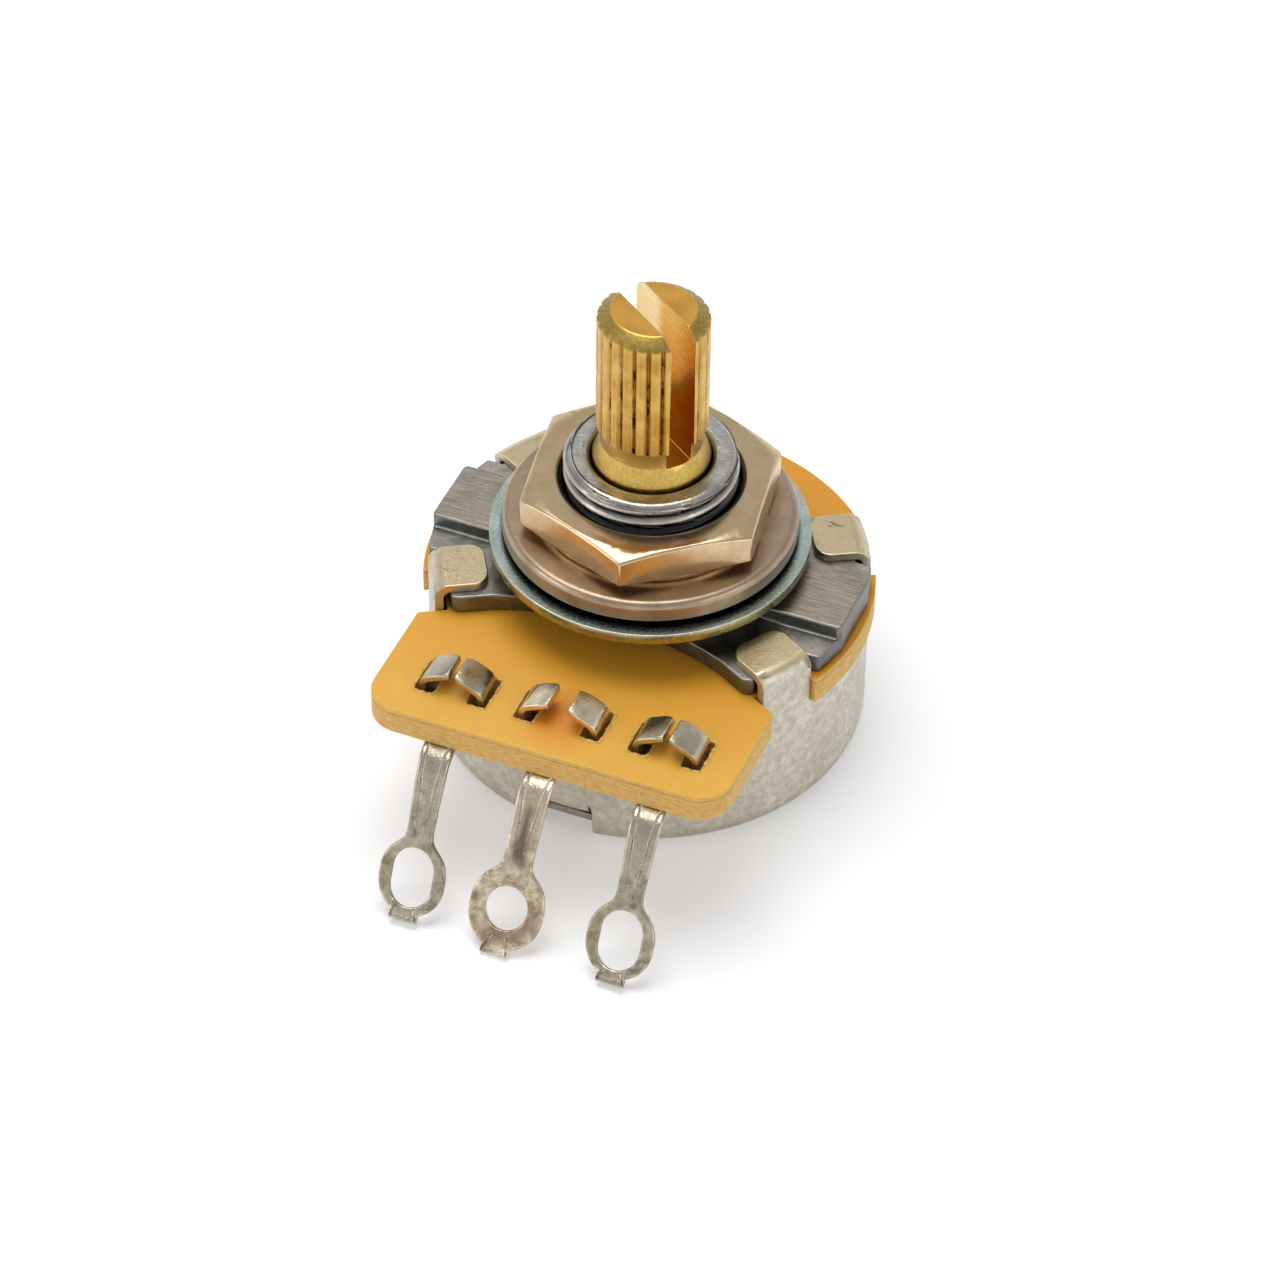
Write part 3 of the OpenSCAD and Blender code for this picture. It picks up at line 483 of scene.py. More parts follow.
def lug_outline(eye_r, hole_r, hole_extra, strap_low, strap_high):
    """Outer and hole outlines in x and s, s along the strap, from the eye's middle. Outer radius at angle f
    from the strap: the larger of the eye, the strap's half width / sin f and the stub, with soft corners.
    Hole radius: the smaller of hole_r / sin f and c cos f + root(hole_r^2 - c^2 sin^2 f), c = extra / 2."""
    side = np.arange(STRAP_END, 1.2, -0.16)
    half = np.interp(side, [2.0, 6.5], [strap_low, strap_high])
    turn = np.arctan2(half, side)
    turn = np.concatenate([turn, np.arange(turn[-1] + 0.06, math.pi - 0.02, 0.075)])
    turn = np.sort(np.append(turn, math.pi - math.atan2(STUB_HALF, eye_r + EYE_STRETCH + STUB_LENGTH)))
    wide = np.where(turn < math.atan2(half[-1], side[-1]),
                    np.interp(turn, np.arctan2(half, side), np.hypot(half, side)), strap_low / np.sin(turn))
    strap = np.where(turn < math.pi / 2, wide, 0)
    outer = soft_max(eye_r + EYE_STRETCH * np.abs(np.cos(turn)), strap, 1.0)
    back = math.pi - turn
    end_r = (eye_r + EYE_STRETCH + STUB_LENGTH) / np.maximum(np.cos(back), 0.1)
    stub = np.where(back < 0.8, np.minimum(STUB_HALF / np.maximum(np.sin(back), 1e-3), end_r), 0)
    outer = soft_max(outer, stub, 0.06)
    c = 0.5 * hole_extra
    round_r = c * np.abs(np.cos(turn)) + np.sqrt(hole_r ** 2 - (c * np.sin(turn)) ** 2)
    hole = np.where(np.abs(np.cos(turn)) * hole_r < c * np.sin(turn), hole_r / np.sin(turn), round_r)
    end_x = np.linspace(-half[0], half[0], 7)[1:-1]
    end_turn = np.arctan2(end_x, STRAP_END)
    x = np.concatenate([end_x, outer * np.sin(turn), -(outer * np.sin(turn))[::-1]])
    s = np.concatenate([np.full(5, STRAP_END), outer * np.cos(turn), (outer * np.cos(turn))[::-1]])
    in_turn = np.concatenate([end_turn, turn, -turn[::-1]])
    in_r = np.concatenate([np.full(5, hole_r + c), hole, hole[::-1]])
    return np.stack([x, s], axis=1), np.stack([in_r * np.sin(in_turn), in_r * np.cos(in_turn)], axis=1)


def outward(loop):
    """Unit normals of a closed loop that runs clockwise in x and s: its central difference, turned left."""
    run = np.roll(loop, -1, axis=0) - np.roll(loop, 1, axis=0)
    run /= np.linalg.norm(run, axis=1, keepdims=True)
    return np.stack([-run[:, 1], run[:, 0]], axis=1)


def lug_section(outer, hole, across=34):
    """Points [column, place, x s h]: over the top from hole to rim, round the rim, back under, round the
    hole. The edges are half circles of radius EDGE_ROUND with a flat between them."""
    rim_out, hole_out = outward(outer), -outward(hole)
    rim, lip = outer - EDGE_ROUND * rim_out, hole - EDGE_ROUND * hole_out
    f = np.linspace(0, 1, across)[None, :, None]
    top = lip[:, None] * (1 - f) + rim[:, None] * f
    flat = SHEET / 2 - EDGE_ROUND
    arc = np.radians([30, 60, 90, 90, 120, 150])
    lift = np.where(np.arange(6) < 3, flat, -flat) + EDGE_ROUND * np.cos(arc)
    reach = EDGE_ROUND * np.sin(arc)[None, :, None]
    places = [top, rim[:, None] + reach * rim_out[:, None], top[:, ::-1], lip[:, None] + reach * hole_out[:, None]]
    heights = [np.full(across, SHEET / 2), lift, np.full(across, -SHEET / 2), lift[::-1]]
    plan = np.concatenate(places, axis=1)
    height = np.broadcast_to(np.concatenate(heights)[None, :, None], plan.shape[:2] + (1,))
    return np.concatenate([plan, height], axis=2)


rim_loop, hole_loop = lug_outline(**OUTER_EYE)
print("outline of", len(rim_loop), "points, eye", 2 * np.round(rim_loop[:, 0].max(), 2), "mm wide")

# %% Bent path and swept strips
BEND_START = -14.95
BEND_R = 2.0
BEND_TURN = math.radians(54)
EYE_TURN = math.radians(24)
SHEET_Z = 7.4
PRONG_HALF = 0.95
PRONG_FOLD = math.radians(64)
PRONG_CURL = math.radians(16)


def lay_on_path(section, straight, middle_x, lean):
    """s to y and z: the slope is BEND_TURN on the straight, falls to 0 at one radian per BEND_R above it and
    by EYE_TURN below the eye's middle. y and z are its running sums, and h goes along its normal."""
    s = np.linspace(-3.2, STRAP_END, 600)
    slope = np.clip(BEND_TURN - (s - straight) / BEND_R, 0, BEND_TURN) - EYE_TURN * np.clip((-s - 0.6) / 1.6, 0, 1)
    middle = 0.5 * (slope[1:] + slope[:-1])
    y = np.concatenate([[0], np.cumsum(np.cos(middle) * np.diff(s))])
    z = np.concatenate([[0], np.cumsum(np.sin(middle) * np.diff(s))])
    y += BEND_START - np.interp(straight + BEND_R * BEND_TURN, s, y)
    z += SHEET_Z - z[-1]
    at = section[..., 1]
    tilt = np.interp(at, s, slope)
    height = section[..., 2]
    return np.stack([section[..., 0] + middle_x + lean * at, np.interp(at, s, y) - height * np.sin(tilt),
                     np.interp(at, s, z) + height * np.cos(tilt)], axis=-1)


def strip(centre, across, up, half_width, corner=0.09):
    """Sweeps a rounded rectangle, half_width by half the sheet, along centre[i]. across is the direction of
    the width and up[i] that of the thickness. The first and last three rings close in as a quarter circle."""
    steps = np.radians([0, 30, 60, 90])
    corners = [(1, 1, 0), (-1, 1, 90), (-1, -1, 180), (1, -1, 270)]
    u = np.concatenate([np.cos(steps + math.radians(turn)) * corner - sx * corner for sx, _, turn in corners])
    v = np.concatenate([np.sin(steps + math.radians(turn)) * corner - sy * corner for _, sy, turn in corners])
    side = np.repeat([[sx, sy] for sx, sy, _ in corners], 4, axis=0)
    inset = np.zeros(len(centre))
    inset[[0, -1]], inset[[1, -2]], inset[[2, -3]] = corner, 0.3 * corner, 0.05 * corner
    width = side[None, :, 0] * (half_width - inset)[:, None] + u[None]
    thick = side[None, :, 1] * (SHEET / 2 - inset)[:, None] + v[None]
    return centre[:, None] + width[..., None] * across + thick[..., None] * up[:, None]


def prong(middle_x, span, way):
    """Up from the base and over towards the lug's middle: the turn from upright grows to PRONG_FOLD by a
    smooth step over 0.85 mm, and by part of PRONG_CURL at the tip, where the width narrows too."""
    s = np.concatenate([[-1.9, -1.86, -1.8], np.linspace(-1.7, 1.94, 44), [1.99, 2.02, 2.03]])
    rise = np.clip(s / 0.85, 0, 1)
    tip = np.clip((s - 1.35) / 0.8, 0, 1)
    turn = PRONG_FOLD * rise ** 2 * (3 - 2 * rise) + PRONG_CURL * tip
    middle = 0.5 * (turn[1:] + turn[:-1])
    x = np.concatenate([[0], np.cumsum(np.sin(middle) * np.diff(s))])
    z = np.concatenate([[0], np.cumsum(np.cos(middle) * np.diff(s))]) + 7.35
    x = middle_x + way * (span / 2 - SHEET / 2 - x)
    centre = np.stack([x, np.full(len(s), PRONG_Y), z], axis=1)
    up = np.stack([way * np.cos(turn), np.zeros(len(s)), np.sin(turn)], axis=1)
    return strip(centre, np.array([0, 1, 0]), up, PRONG_HALF - 0.2 * tip ** 2)


def bar(start, end, half_width):
    """A straight strip of sheet in the plane of the base."""
    f = np.array([0, 0.004, 0.02, 0.5, 0.98, 0.996, 1])[:, None]
    centre = np.array(start) * (1 - f) + np.array(end) * f
    along = (np.array(end) - start) / np.linalg.norm(np.array(end) - start)
    return strip(centre, np.cross([0, 0, 1], along), np.tile([0.0, 0.0, 1.0], (7, 1)), np.full(7, half_width), 0.03)


tip = prong(0, 3.7, 1)
print("prong's tip at x", tip[-1, :, 0].min().round(2), "top at z", tip[..., 2].max().round(2))

# %% Put the stampings together
BASE_Y = -12.425
BASE_HALF = 1.075
TONGUE_HALF = 0.9
TONGUE_CLEAR = 0.08
LUGS = {"terminal_left": dict(middle=-5.95, eye_x=-5.33, lean=-0.050, span=3.7, straight=5.65, eye=OUTER_EYE),
        "terminal_centre": dict(middle=0.15, eye_x=0.15, lean=0.0, span=4.5, straight=5.75, eye=CENTRE_EYE),
        "terminal_right": dict(middle=6.25, eye_x=6.58, lean=-0.025, span=3.7, straight=5.65, eye=OUTER_EYE)}

stampings = {}
for name, lug in LUGS.items():
    section = lug_section(*lug_outline(**lug["eye"]))
    sheet = lay_on_path(section, lug["straight"], lug["eye_x"], lug["lean"])
    tongue_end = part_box(name)[1][1] / MM - TONGUE_CLEAR
    middle, half = lug["middle"], lug["span"] / 2
    tubes = [prong(middle, lug["span"], 1), prong(middle, lug["span"], -1),
             bar((middle - half, BASE_Y, SHEET_Z), (middle + half, BASE_Y, SHEET_Z), BASE_HALF),
             bar((middle, PRONG_Y, SHEET_Z), (middle, tongue_end, SHEET_Z), TONGUE_HALF)]
    mesh = grid_shells("stamped_" + name, [sheet], tubes)
    mesh.shade_smooth()
    made = new_object("stamped_" + name, mesh)
    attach(made, "housing")
    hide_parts(name)
    normal = made.modifiers.new("flat normals", "WEIGHTED_NORMAL")
    normal.keep_sharp = False
    normal.weight = 60
    stampings[name] = made
    print(name, len(made.data.polygons), "faces, lowest point", sheet[..., 2].min().round(3), "mm")

# %% [markdown]
# Edges. No real edge is perfectly sharp, and on metal the thin line of light along an edge is half of what
# the eye reads as solid. Each piece gets the same chain of modifiers: Weld joins the loose triangles,
# Decimate in its planar mode melts the flat ones into whole faces, Bevel rounds what is left by a real
# amount in millimetres, and Weighted Normal keeps the flats flat in the shading. The bevel takes in edges
# that turn by more than `angle`, which is higher on the drawn cover, whose curved folds must be left alone.

# %% Break the edges
def break_edges(piece, width, angle=28, segments=2, merge=0.001):
    """Adds the weld, melt, bevel and normal modifiers. The width and the merging distance are in mm."""
    weld = piece.modifiers.new("weld", "WELD")
    weld.merge_threshold = merge * MM
    melt = piece.modifiers.new("melt flats", "DECIMATE")
    melt.decimate_type = "DISSOLVE"
    melt.angle_limit = math.radians(0.5)
    bevel = piece.modifiers.new("broken edge", "BEVEL")
    bevel.width = width * MM
    bevel.segments = segments
    bevel.limit_method = "ANGLE"
    bevel.angle_limit = math.radians(angle)
    bevel.use_clamp_overlap = False
    normal = piece.modifiers.new("flat normals", "WEIGHTED_NORMAL")
    normal.keep_sharp = False


for name, width in {"element_wafer": 0.07, "lock_washer": 0.06, "hex_nut": 0.12}.items():
    break_edges(nodes[name], width)
break_edges(drawn_cover, 0.06, angle=45)
break_edges(nodes["shaft"], 0.04, angle=18)
break_edges(cast_plate, 0.13, segments=3, merge=0.05)
print("edges broken")

# %% [markdown]
# Materials. Every piece is dressed through its material slots, which are linked to the object, so that the
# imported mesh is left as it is. On the real object each piece gets its finish before it is put together.

# %% Dress helper
def dress(made, *pieces):
    """Puts a material in every slot of the named CAD nodes, or of objects given as they are."""
    for piece in pieces:
        target = nodes[piece] if isinstance(piece, str) else piece
        if not target.material_slots:
            target.data.materials.append(made)
        for place in target.material_slots:
            place.link = "OBJECT"
            place.material = made
    print(made.name, "on", len(pieces), "piece(s)")


# %% [markdown]
# Tin-plated steel: the cover. It is drawn from sheet that was plated before, so the tin is dull, finely
# pitted and a little yellow, with dark specks where the draw broke it. Three noises make it: clouds of 2.4
# mm tint it, blotches of 0.5 mm mottle it, and specks of 0.16 mm, drawn a little larger than the real pits,
# darken it. The tabs' tops were rubbed by the folding tool, so they are smoother and more golden, with dark
# rubs.

# %% Tin-plated steel
tin, tree, shader, place = material("drawn steel, dull tin plate", metallic=1.0)
at = add(tree, "SeparateXYZ", {0: place}).outputs
_, cloudy = blotches(tree, place, 2.4, 0.35, 0.65, Detail=3)
mottle, mottled = blotches(tree, place, 0.5, 0.38, 0.64, Detail=4, Roughness=0.7)
grain, speck = blotches(tree, place, 0.16, 0.66, 0.76, Detail=2)
sheet_tone = add(tree, "Mix", {FAC: cloudy, A: "#dcd6c8", B: "#cbc4b4"})
mottled_tone = add(tree, "Mix", {FAC: mottled, A: "#bdb6a6", B: sheet_tone})
tab_height = add(tree, "MapRange", {0: at["Z"], 1: 10.35 * MM, 2: 10.8 * MM})
tab_tone = add(tree, "Mix", {FAC: tab_height, A: mottled_tone, B: "#dcc9a6"})
rub_way = add(tree, "Mapping", {"Vector": place, "Rotation": (0, 0, 0.5), "Scale": (0.35, 1, 1)})
_, rubbed = blotches(tree, rub_way, 0.5, 0.60, 0.72, Detail=6, Roughness=0.75)
tab_rub = add(tree, "Math", {0: rubbed, 1: tab_height})
rub_tone = add(tree, "Mix", {FAC: tab_rub, A: tab_tone, B: "#5f5a4c"})
speck_part = add(tree, "Math", {0: speck, 1: 0.45})
speck_tone = add(tree, "Mix", {FAC: speck_part, A: rub_tone, B: "#6d675a"})
# Painted shade: the cover is painted darker towards its bottom, for the shade and the dark reflection of the ground
# there.
foot_shade = add(tree, "MapRange", {0: at["Z"], 1: 1.5 * MM, 2: 0.1 * MM})
foot_shade_part = add(tree, "Math", {0: foot_shade, 1: 0.55})
foot_shaded_tone = add(tree, "Mix", {FAC: foot_shade_part, A: speck_tone, B: "#8f8c7a"})
sheen = add(tree, "MapRange", {0: mottle, 1: 0.3, 2: 0.7, 3: 0.52, 4: 0.40})
tab_sheen = add(tree, "Mix", {0: tab_height, 2: sheen, 3: 0.27})
pits = add(tree, "Math", {0: mottle, 1: grain}, operation="ADD")
wire(tree, shader, relief=(pits, 0.5, 0.02), base_color=foot_shaded_tone, roughness=tab_sheen)
dress(tin, drawn_cover, "cover")

# %% [markdown]
# Die-cast zinc: the mounting plate with its bushing. It comes out of the die blue-grey and a little soft at
# the edges, and is ground flat on the raised pads. So the colour follows the height and the way a face looks:
# ground tops are warm with scratches along X, lower tops are paler with clouds, walls are painted slate as
# shade, and the thread's grooves and its part inside the nut are painted near black as shade.

# %% Zinc casting
zinc, tree, shader, place = material("die-cast zinc alloy, pads ground", metallic=1.0)
at = add(tree, "SeparateXYZ", {0: place}).outputs
top = add(tree, "MapRange", {0: upward(tree), 1: 0.35, 2: 0.92})
clouds, cloudy = blotches(tree, place, 1.1, 0.36, 0.66, Detail=5, Roughness=0.65)
low_tone = add(tree, "Mix", {FAC: cloudy, A: "#8b8a84", B: "#b0aaa0"})
ground_way = add(tree, "Mapping", {"Vector": place, "Rotation": (0, 0, -0.06), "Scale": (0.10, 1, 1)})
ground, scratch = blotches(tree, ground_way, 0.12, 0.36, 0.64, Detail=3, Roughness=0.6)
pad_tone = add(tree, "Mix", {FAC: scratch, A: "#8b8278", B: "#aba294"})
pad_height = add(tree, "MapRange", {0: at["Z"], 1: 10.98 * MM, 2: 11.06 * MM})
top_tone = add(tree, "Mix", {FAC: pad_height, A: low_tone, B: pad_tone})
# Painted shade: faces that turn away from up are painted dark slate, as shade and dark reflection on the walls.
shaded_wall_tone = add(tree, "Mix", {FAC: cloudy, A: "#666a6b", B: "#868784"})
plate_tone = add(tree, "Mix", {FAC: top, A: shaded_wall_tone, B: top_tone})
radius = from_axis(tree, place)
# Painted shade: the thread is painted near black in its grooves and inside the nut; only the crests and the end
# keep the bare zinc.
thread_part = add(tree, "MapRange", {0: at["Z"], 1: 11.4 * MM, 2: 11.6 * MM})
crest_part = add(tree, "MapRange", {0: radius, 1: 4.42 * MM, 2: 4.66 * MM})
end_part = add(tree, "MapRange", {0: at["Z"], 1: 17.45 * MM, 2: 17.75 * MM})
bright_part = add(tree, "Math", {0: crest_part, 1: end_part}, operation="MAXIMUM")
in_nut = add(tree, "MapRange", {0: at["Z"], 1: 16.2 * MM, 2: 16.5 * MM})
unshaded_thread_part = add(tree, "Math", {0: bright_part, 1: in_nut})
bare = add(tree, "Mix", {FAC: cloudy, A: "#adaba6", B: "#c6c2ba"})
thread_tone = add(tree, "Mix", {FAC: unshaded_thread_part, A: "#2e3236", B: bare})
tone = add(tree, "Mix", {FAC: thread_part, A: plate_tone, B: thread_tone})
pit, dark_pit = blotches(tree, place, 0.22, 0.68, 0.76, 0.6, Detail=2)
pitted_tone = add(tree, "Mix", {FAC: dark_pit, A: tone, B: "#3b3e40"})
plate_sheen = add(tree, "MapRange", {0: clouds, 1: 0.3, 2: 0.7, 3: 0.30, 4: 0.44})
sheen = add(tree, "Mix", {0: thread_part, 2: plate_sheen, 3: 0.25})
relief = add(tree, "Mix", {0: pad_height, 2: clouds, 3: ground})
rough_skin = add(tree, "Math", {0: relief, 1: pit}, operation="ADD")
wire(tree, shader, relief=(rough_skin, 0.45, 0.03), base_color=pitted_tone, roughness=sheen)
dress(zinc, cast_plate, "mounting_plate")

# %% [markdown]
# Paper phenolic: the wafer. It is a board of paper sheets pressed with resin, amber and satin, and slightly
# clear, so that light sinks in a little way before it comes back. Its punched edge shows the layers: a dark
# broken line near the top, where the punch cracked it, and pale fibres below. The top is more orange round
# the middle lug, where flux or heat stained it, and carries sparse pale specks.

# %% Paper phenolic
amber, tree, shader, place = material("pressed paper phenolic, punched", ior=1.6, specular_ior_level=0.4,
                                      subsurface_weight=0.35, subsurface_scale=0.9 * MM)
shader.inputs["Subsurface Radius"].default_value = (1.0, 0.5, 0.15)
at = add(tree, "SeparateXYZ", {0: place}).outputs
up_down = add(tree, "Math", {0: upward(tree)}, operation="ABSOLUTE")
face_part = add(tree, "MapRange", {0: up_down, 1: 0.35, 2: 0.85})
# Painted shade: the board is painted darker towards the rear, under the washers, and lighter at the front.
front = add(tree, "MapRange", {0: at["Y"], 1: -5 * MM, 2: -14 * MM})
board = add(tree, "Mix", {FAC: front, A: "#efa51e", B: "#fcc04a"})
paper_grain, grainy = blotches(tree, place, 0.8, 0.35, 0.65, 0.35, Detail=5, Roughness=0.6)
board_grain = add(tree, "Mix", {FAC: grainy, A: board, B: "#f0ae38"})
stain_way = add(tree, "Mapping", {"Vector": place, "Location": (-0.15 * MM, 12.5 * MM, -9.2 * MM)})
stain_far = add(tree, "VectorMath", {0: stain_way}, operation="LENGTH")
stain_edge = add(tree, "Math", {0: paper_grain, 1: 2.4 * MM})
stain_sum = add(tree, "Math", {0: stain_far.outputs["Value"], 1: stain_edge}, operation="ADD")
stain = add(tree, "MapRange", {0: stain_sum, 1: 4.6 * MM, 2: 1.6 * MM, 4: 0.75},
            interpolation_type="SMOOTHSTEP")
stained = add(tree, "Mix", {FAC: stain, A: board_grain, B: "#ec8a1c"})
_, pale = blotches(tree, place, 0.2, 0.75, 0.80, 0.6, Detail=1)
top_tone = add(tree, "Mix", {FAC: pale, A: stained, B: "#f0cf86"})
layer_way = add(tree, "Mapping", {"Vector": place, "Scale": (0.35, 0.35, 1)})
layers, fibre = blotches(tree, layer_way, 0.18, 0.36, 0.66, Detail=4, Roughness=0.7)
edge_tone = add(tree, "Mix", {FAC: fibre, A: "#f2b248", B: "#ffd88a"})
wander = add(tree, "MapRange", {0: paper_grain, 3: 8.84 * MM, 4: 9.00 * MM})
off_line = add(tree, "Math", {0: at["Z"], 1: wander}, operation="SUBTRACT")
from_line = add(tree, "Math", {0: off_line}, operation="ABSOLUTE")
line = add(tree, "MapRange", {0: from_line, 1: 0.05 * MM, 2: 0.015 * MM})
broken = add(tree, "MapRange", {0: layers, 1: 0.42, 2: 0.56, 4: 0.7})
crack = add(tree, "Math", {0: line, 1: broken})
cracked = add(tree, "Mix", {FAC: crack, A: edge_tone, B: "#5c3c12"})
tone = add(tree, "Mix", {FAC: face_part, A: cracked, B: top_tone})
sheen = add(tree, "Mix", {0: face_part, 2: 0.62, 3: 0.40})
fibre_relief = add(tree, "Mix", {0: face_part, 2: layers, 3: paper_grain})
wire(tree, shader, relief=(fibre_relief, 0.5, 0.02), base_color=tone, roughness=sheen)
dress(amber, "element_wafer")

# %% [markdown]
# The slots' torn rims are the same board with its fibres broken open, which makes them pale and matt.

# %% Torn phenolic
torn, tree, shader, place = material("torn paper phenolic", roughness=0.7)
_, torn_part = blotches(tree, place, 0.3, 0.35, 0.65, Detail=3)
tone = add(tree, "Mix", {FAC: torn_part, A: "#d9982c", B: "#f3d27c"})
wire(tree, shader, base_color=tone)
dress(torn, slot_rims)

# %% [markdown]
# Tinned brass: the lugs. They are stamped from brass strip and dipped in tin, which stays uneven: grey and
# dull on the flats and worn at the edges. The bends carry a painted highlight, lighter and smoother, and so do
# the prong tops, partly rubbed by staking and partly as a painted highlight. The middle lug was heated more, so
# its tin has gone brown, and brass shows through on its prongs. One recipe with two sets of colours makes both.

# %% Tinned brass
def tinned(name, light, dark, stain, stain_amount):
    """Blotches of 0.7 mm mix light with dark tin, and larger ones of 1.8 mm add the stain."""
    made, tree, shader, place = material(name, metallic=1.0)
    at = add(tree, "SeparateXYZ", {0: place}).outputs
    blotch, dull = blotches(tree, place, 0.7, 0.40, 0.66, Detail=4, Roughness=0.7, Distortion=0.4)
    patch, stained = blotches(tree, place, 1.8, 0.44, 0.62, stain_amount, Detail=2)
    grain, fleck = blotches(tree, place, 0.14, 0.64, 0.74, 0.5, Detail=2)
    skin = add(tree, "Mix", {FAC: dull, A: light, B: dark})
    toned = add(tree, "Mix", {FAC: stained, A: skin, B: stain})
    flecked = add(tree, "Mix", {FAC: fleck, A: toned, B: "#4e4a40"})
    near = add(tree, "Math", {0: at["X"], 1: 0.15 * MM}, operation="SUBTRACT")
    off = add(tree, "Math", {0: near}, operation="ABSOLUTE")
    wavy = add(tree, "Math", {0: patch, 1: 0.9 * MM, 2: off}, operation="MULTIPLY_ADD")
    middle = add(tree, "MapRange", {0: wavy, 1: 1.05 * MM, 2: 0.55 * MM, 4: 0.85})
    run = band(tree, at["Z"], 3.6, 4.4, 6.2, 7.0)
    burnt = add(tree, "Math", {0: middle, 1: run})
    smoked = add(tree, "Mix", {FAC: burnt, A: flecked, B: "#62574d"})
    # Painted highlight: the bends are painted lighter and smoother; the prong tops too, partly rubbed by staking
    # and partly painted highlight.
    bend_highlight_part = band(tree, at["Z"], 4.6, 5.4, 7.3, 7.6)
    staked = add(tree, "MapRange", {0: at["Z"], 1: 9.3 * MM, 2: 9.8 * MM})
    highlight_and_rub_part = add(tree, "Math", {0: bend_highlight_part, 1: staked}, operation="MAXIMUM")
    highlight_and_rub_amount = add(tree, "Math", {0: highlight_and_rub_part, 1: 0.6})
    rubbed = add(tree, "Mix", {FAC: highlight_and_rub_amount, A: smoked, B: light})
    toned = add(tree, "Mix", {FAC: burnt, A: rubbed, B: smoked})
    dull_sheen = add(tree, "MapRange", {0: blotch, 1: 0.35, 2: 0.65, 3: 0.26, 4: 0.44})
    sheen = add(tree, "Mix", {0: highlight_and_rub_part, 2: dull_sheen, 3: 0.2})
    relief = add(tree, "Math", {0: blotch, 1: grain}, operation="ADD")
    wire(tree, shader, relief=(relief, 0.45, 0.03), base_color=toned, roughness=sheen)
    return made


dress(tinned("stamped brass, dull tin dip", "#c6bfac", "#7d7664", "#98866a", 0.55), "terminal_left",
      "terminal_right", stampings["terminal_left"], stampings["terminal_right"])
dress(tinned("stamped brass, browned tin dip", "#e6d8c0", "#967f62", "#7e6244", 0.7), "terminal_centre",
      stampings["terminal_centre"])

# %% [markdown]
# Turned brass: the shaft. A lathe leaves the cone and the neck smooth, a knurling wheel presses the grooves,
# which are painted dark as shade, with darker streaks deep in them, a saw cuts the slot with slanting scratches,
# whose walls are painted darker towards the bottom as shade, and the end is faced flat and chamfered with a dull,
# grainy cut. The slot is found by turning the coordinates to its direction, and the grooves by their radius.

# %% Turned brass
SLOT_TURN = math.radians(-35.4)
KNURL_TEETH = 24
brass, tree, shader, place = material("turned brass, knurled and sawn", metallic=1.0)
turned = add(tree, "Mapping", {"Vector": place, "Rotation": (0, 0, -SLOT_TURN)})
at = add(tree, "SeparateXYZ", {0: turned}).outputs
radius = from_axis(tree, turned)
grain, grainy = blotches(tree, turned, 0.16, 0.38, 0.62, Detail=3)
clouds, cloudy = blotches(tree, turned, 1.2, 0.35, 0.65, Detail=3)
land = add(tree, "Mix", {FAC: cloudy, A: "#dbb263", B: "#c99d4c"})
# Painted shade: the knurl's grooves, found by radius and by angle, are painted darker, with darker streaks in them.
groove = add(tree, "MapRange", {0: radius, 1: 2.95 * MM, 2: 2.84 * MM})
streak_way = add(tree, "Mapping", {"Vector": turned, "Scale": (1, 1, 0.45)})
_, groove_streak = blotches(tree, streak_way, 0.34, 0.50, 0.60, Detail=4, Roughness=0.7)
groove_streak_shade = add(tree, "Math", {0: groove, 1: groove_streak})
knurl_part = band(tree, at["Z"], 19.86, 19.92, 26.85, 26.95)
way_round = add(tree, "Math", {0: at["Y"], 1: at["X"]}, operation="ARCTAN2")
tooth = add(tree, "Math", {0: way_round, 1: KNURL_TEETH / (2 * math.pi), 2: 0.5}, operation="MULTIPLY_ADD")
tooth_part = add(tree, "Math", {0: tooth}, operation="FRACT")
off_middle = add(tree, "Math", {0: tooth_part, 1: 0.5}, operation="SUBTRACT")
from_middle = add(tree, "Math", {0: off_middle}, operation="ABSOLUTE")
fine_line = add(tree, "MapRange", {0: from_middle, 1: 0.07, 2: 0.02, 4: 0.75})
fine_groove = add(tree, "Math", {0: fine_line, 1: cloudy})
any_groove = add(tree, "Math", {0: groove, 1: fine_groove}, operation="MAXIMUM")
groove_part = add(tree, "Math", {0: any_groove, 1: knurl_part})
groove_shade = add(tree, "Math", {0: groove_part, 1: 0.55})
shaded = add(tree, "Mix", {FAC: groove_shade, A: land, B: "#8a6424"})
painted_streak_shade = add(tree, "Math", {0: groove_streak_shade, 1: knurl_part})
knurled = add(tree, "Mix", {FAC: painted_streak_shade, A: shaded, B: "#3c2a10"})
chamfer_part = band(tree, at["Z"], 26.84, 26.96, 27.38, 27.44)
cut_tone = add(tree, "Mix", {FAC: grainy, A: "#9a8040", B: "#ae9452"})
top_part = add(tree, "MapRange", {0: at["Z"], 1: 27.38 * MM, 2: 27.44 * MM})
faced = add(tree, "Mix", {FAC: top_part, A: knurled, B: "#dca850"})
cone_part = add(tree, "MapRange", {0: at["Z"], 1: 18.84 * MM, 2: 18.78 * MM})
cone_tone = add(tree, "Mix", {FAC: grainy, A: "#c8a552", B: "#d6b765"})
coned = add(tree, "Mix", {FAC: cone_part, A: faced, B: cone_tone})
ended = add(tree, "Mix", {FAC: chamfer_part, A: coned, B: cut_tone})
across = add(tree, "Math", {0: at["Y"]}, operation="ABSOLUTE")
slot_side = add(tree, "MapRange", {0: across, 1: 0.80 * MM, 2: 0.765 * MM})
slot_low = add(tree, "MapRange", {0: at["Z"], 1: 18.78 * MM, 2: 18.82 * MM})
slot_part = add(tree, "Math", {0: slot_side, 1: slot_low})
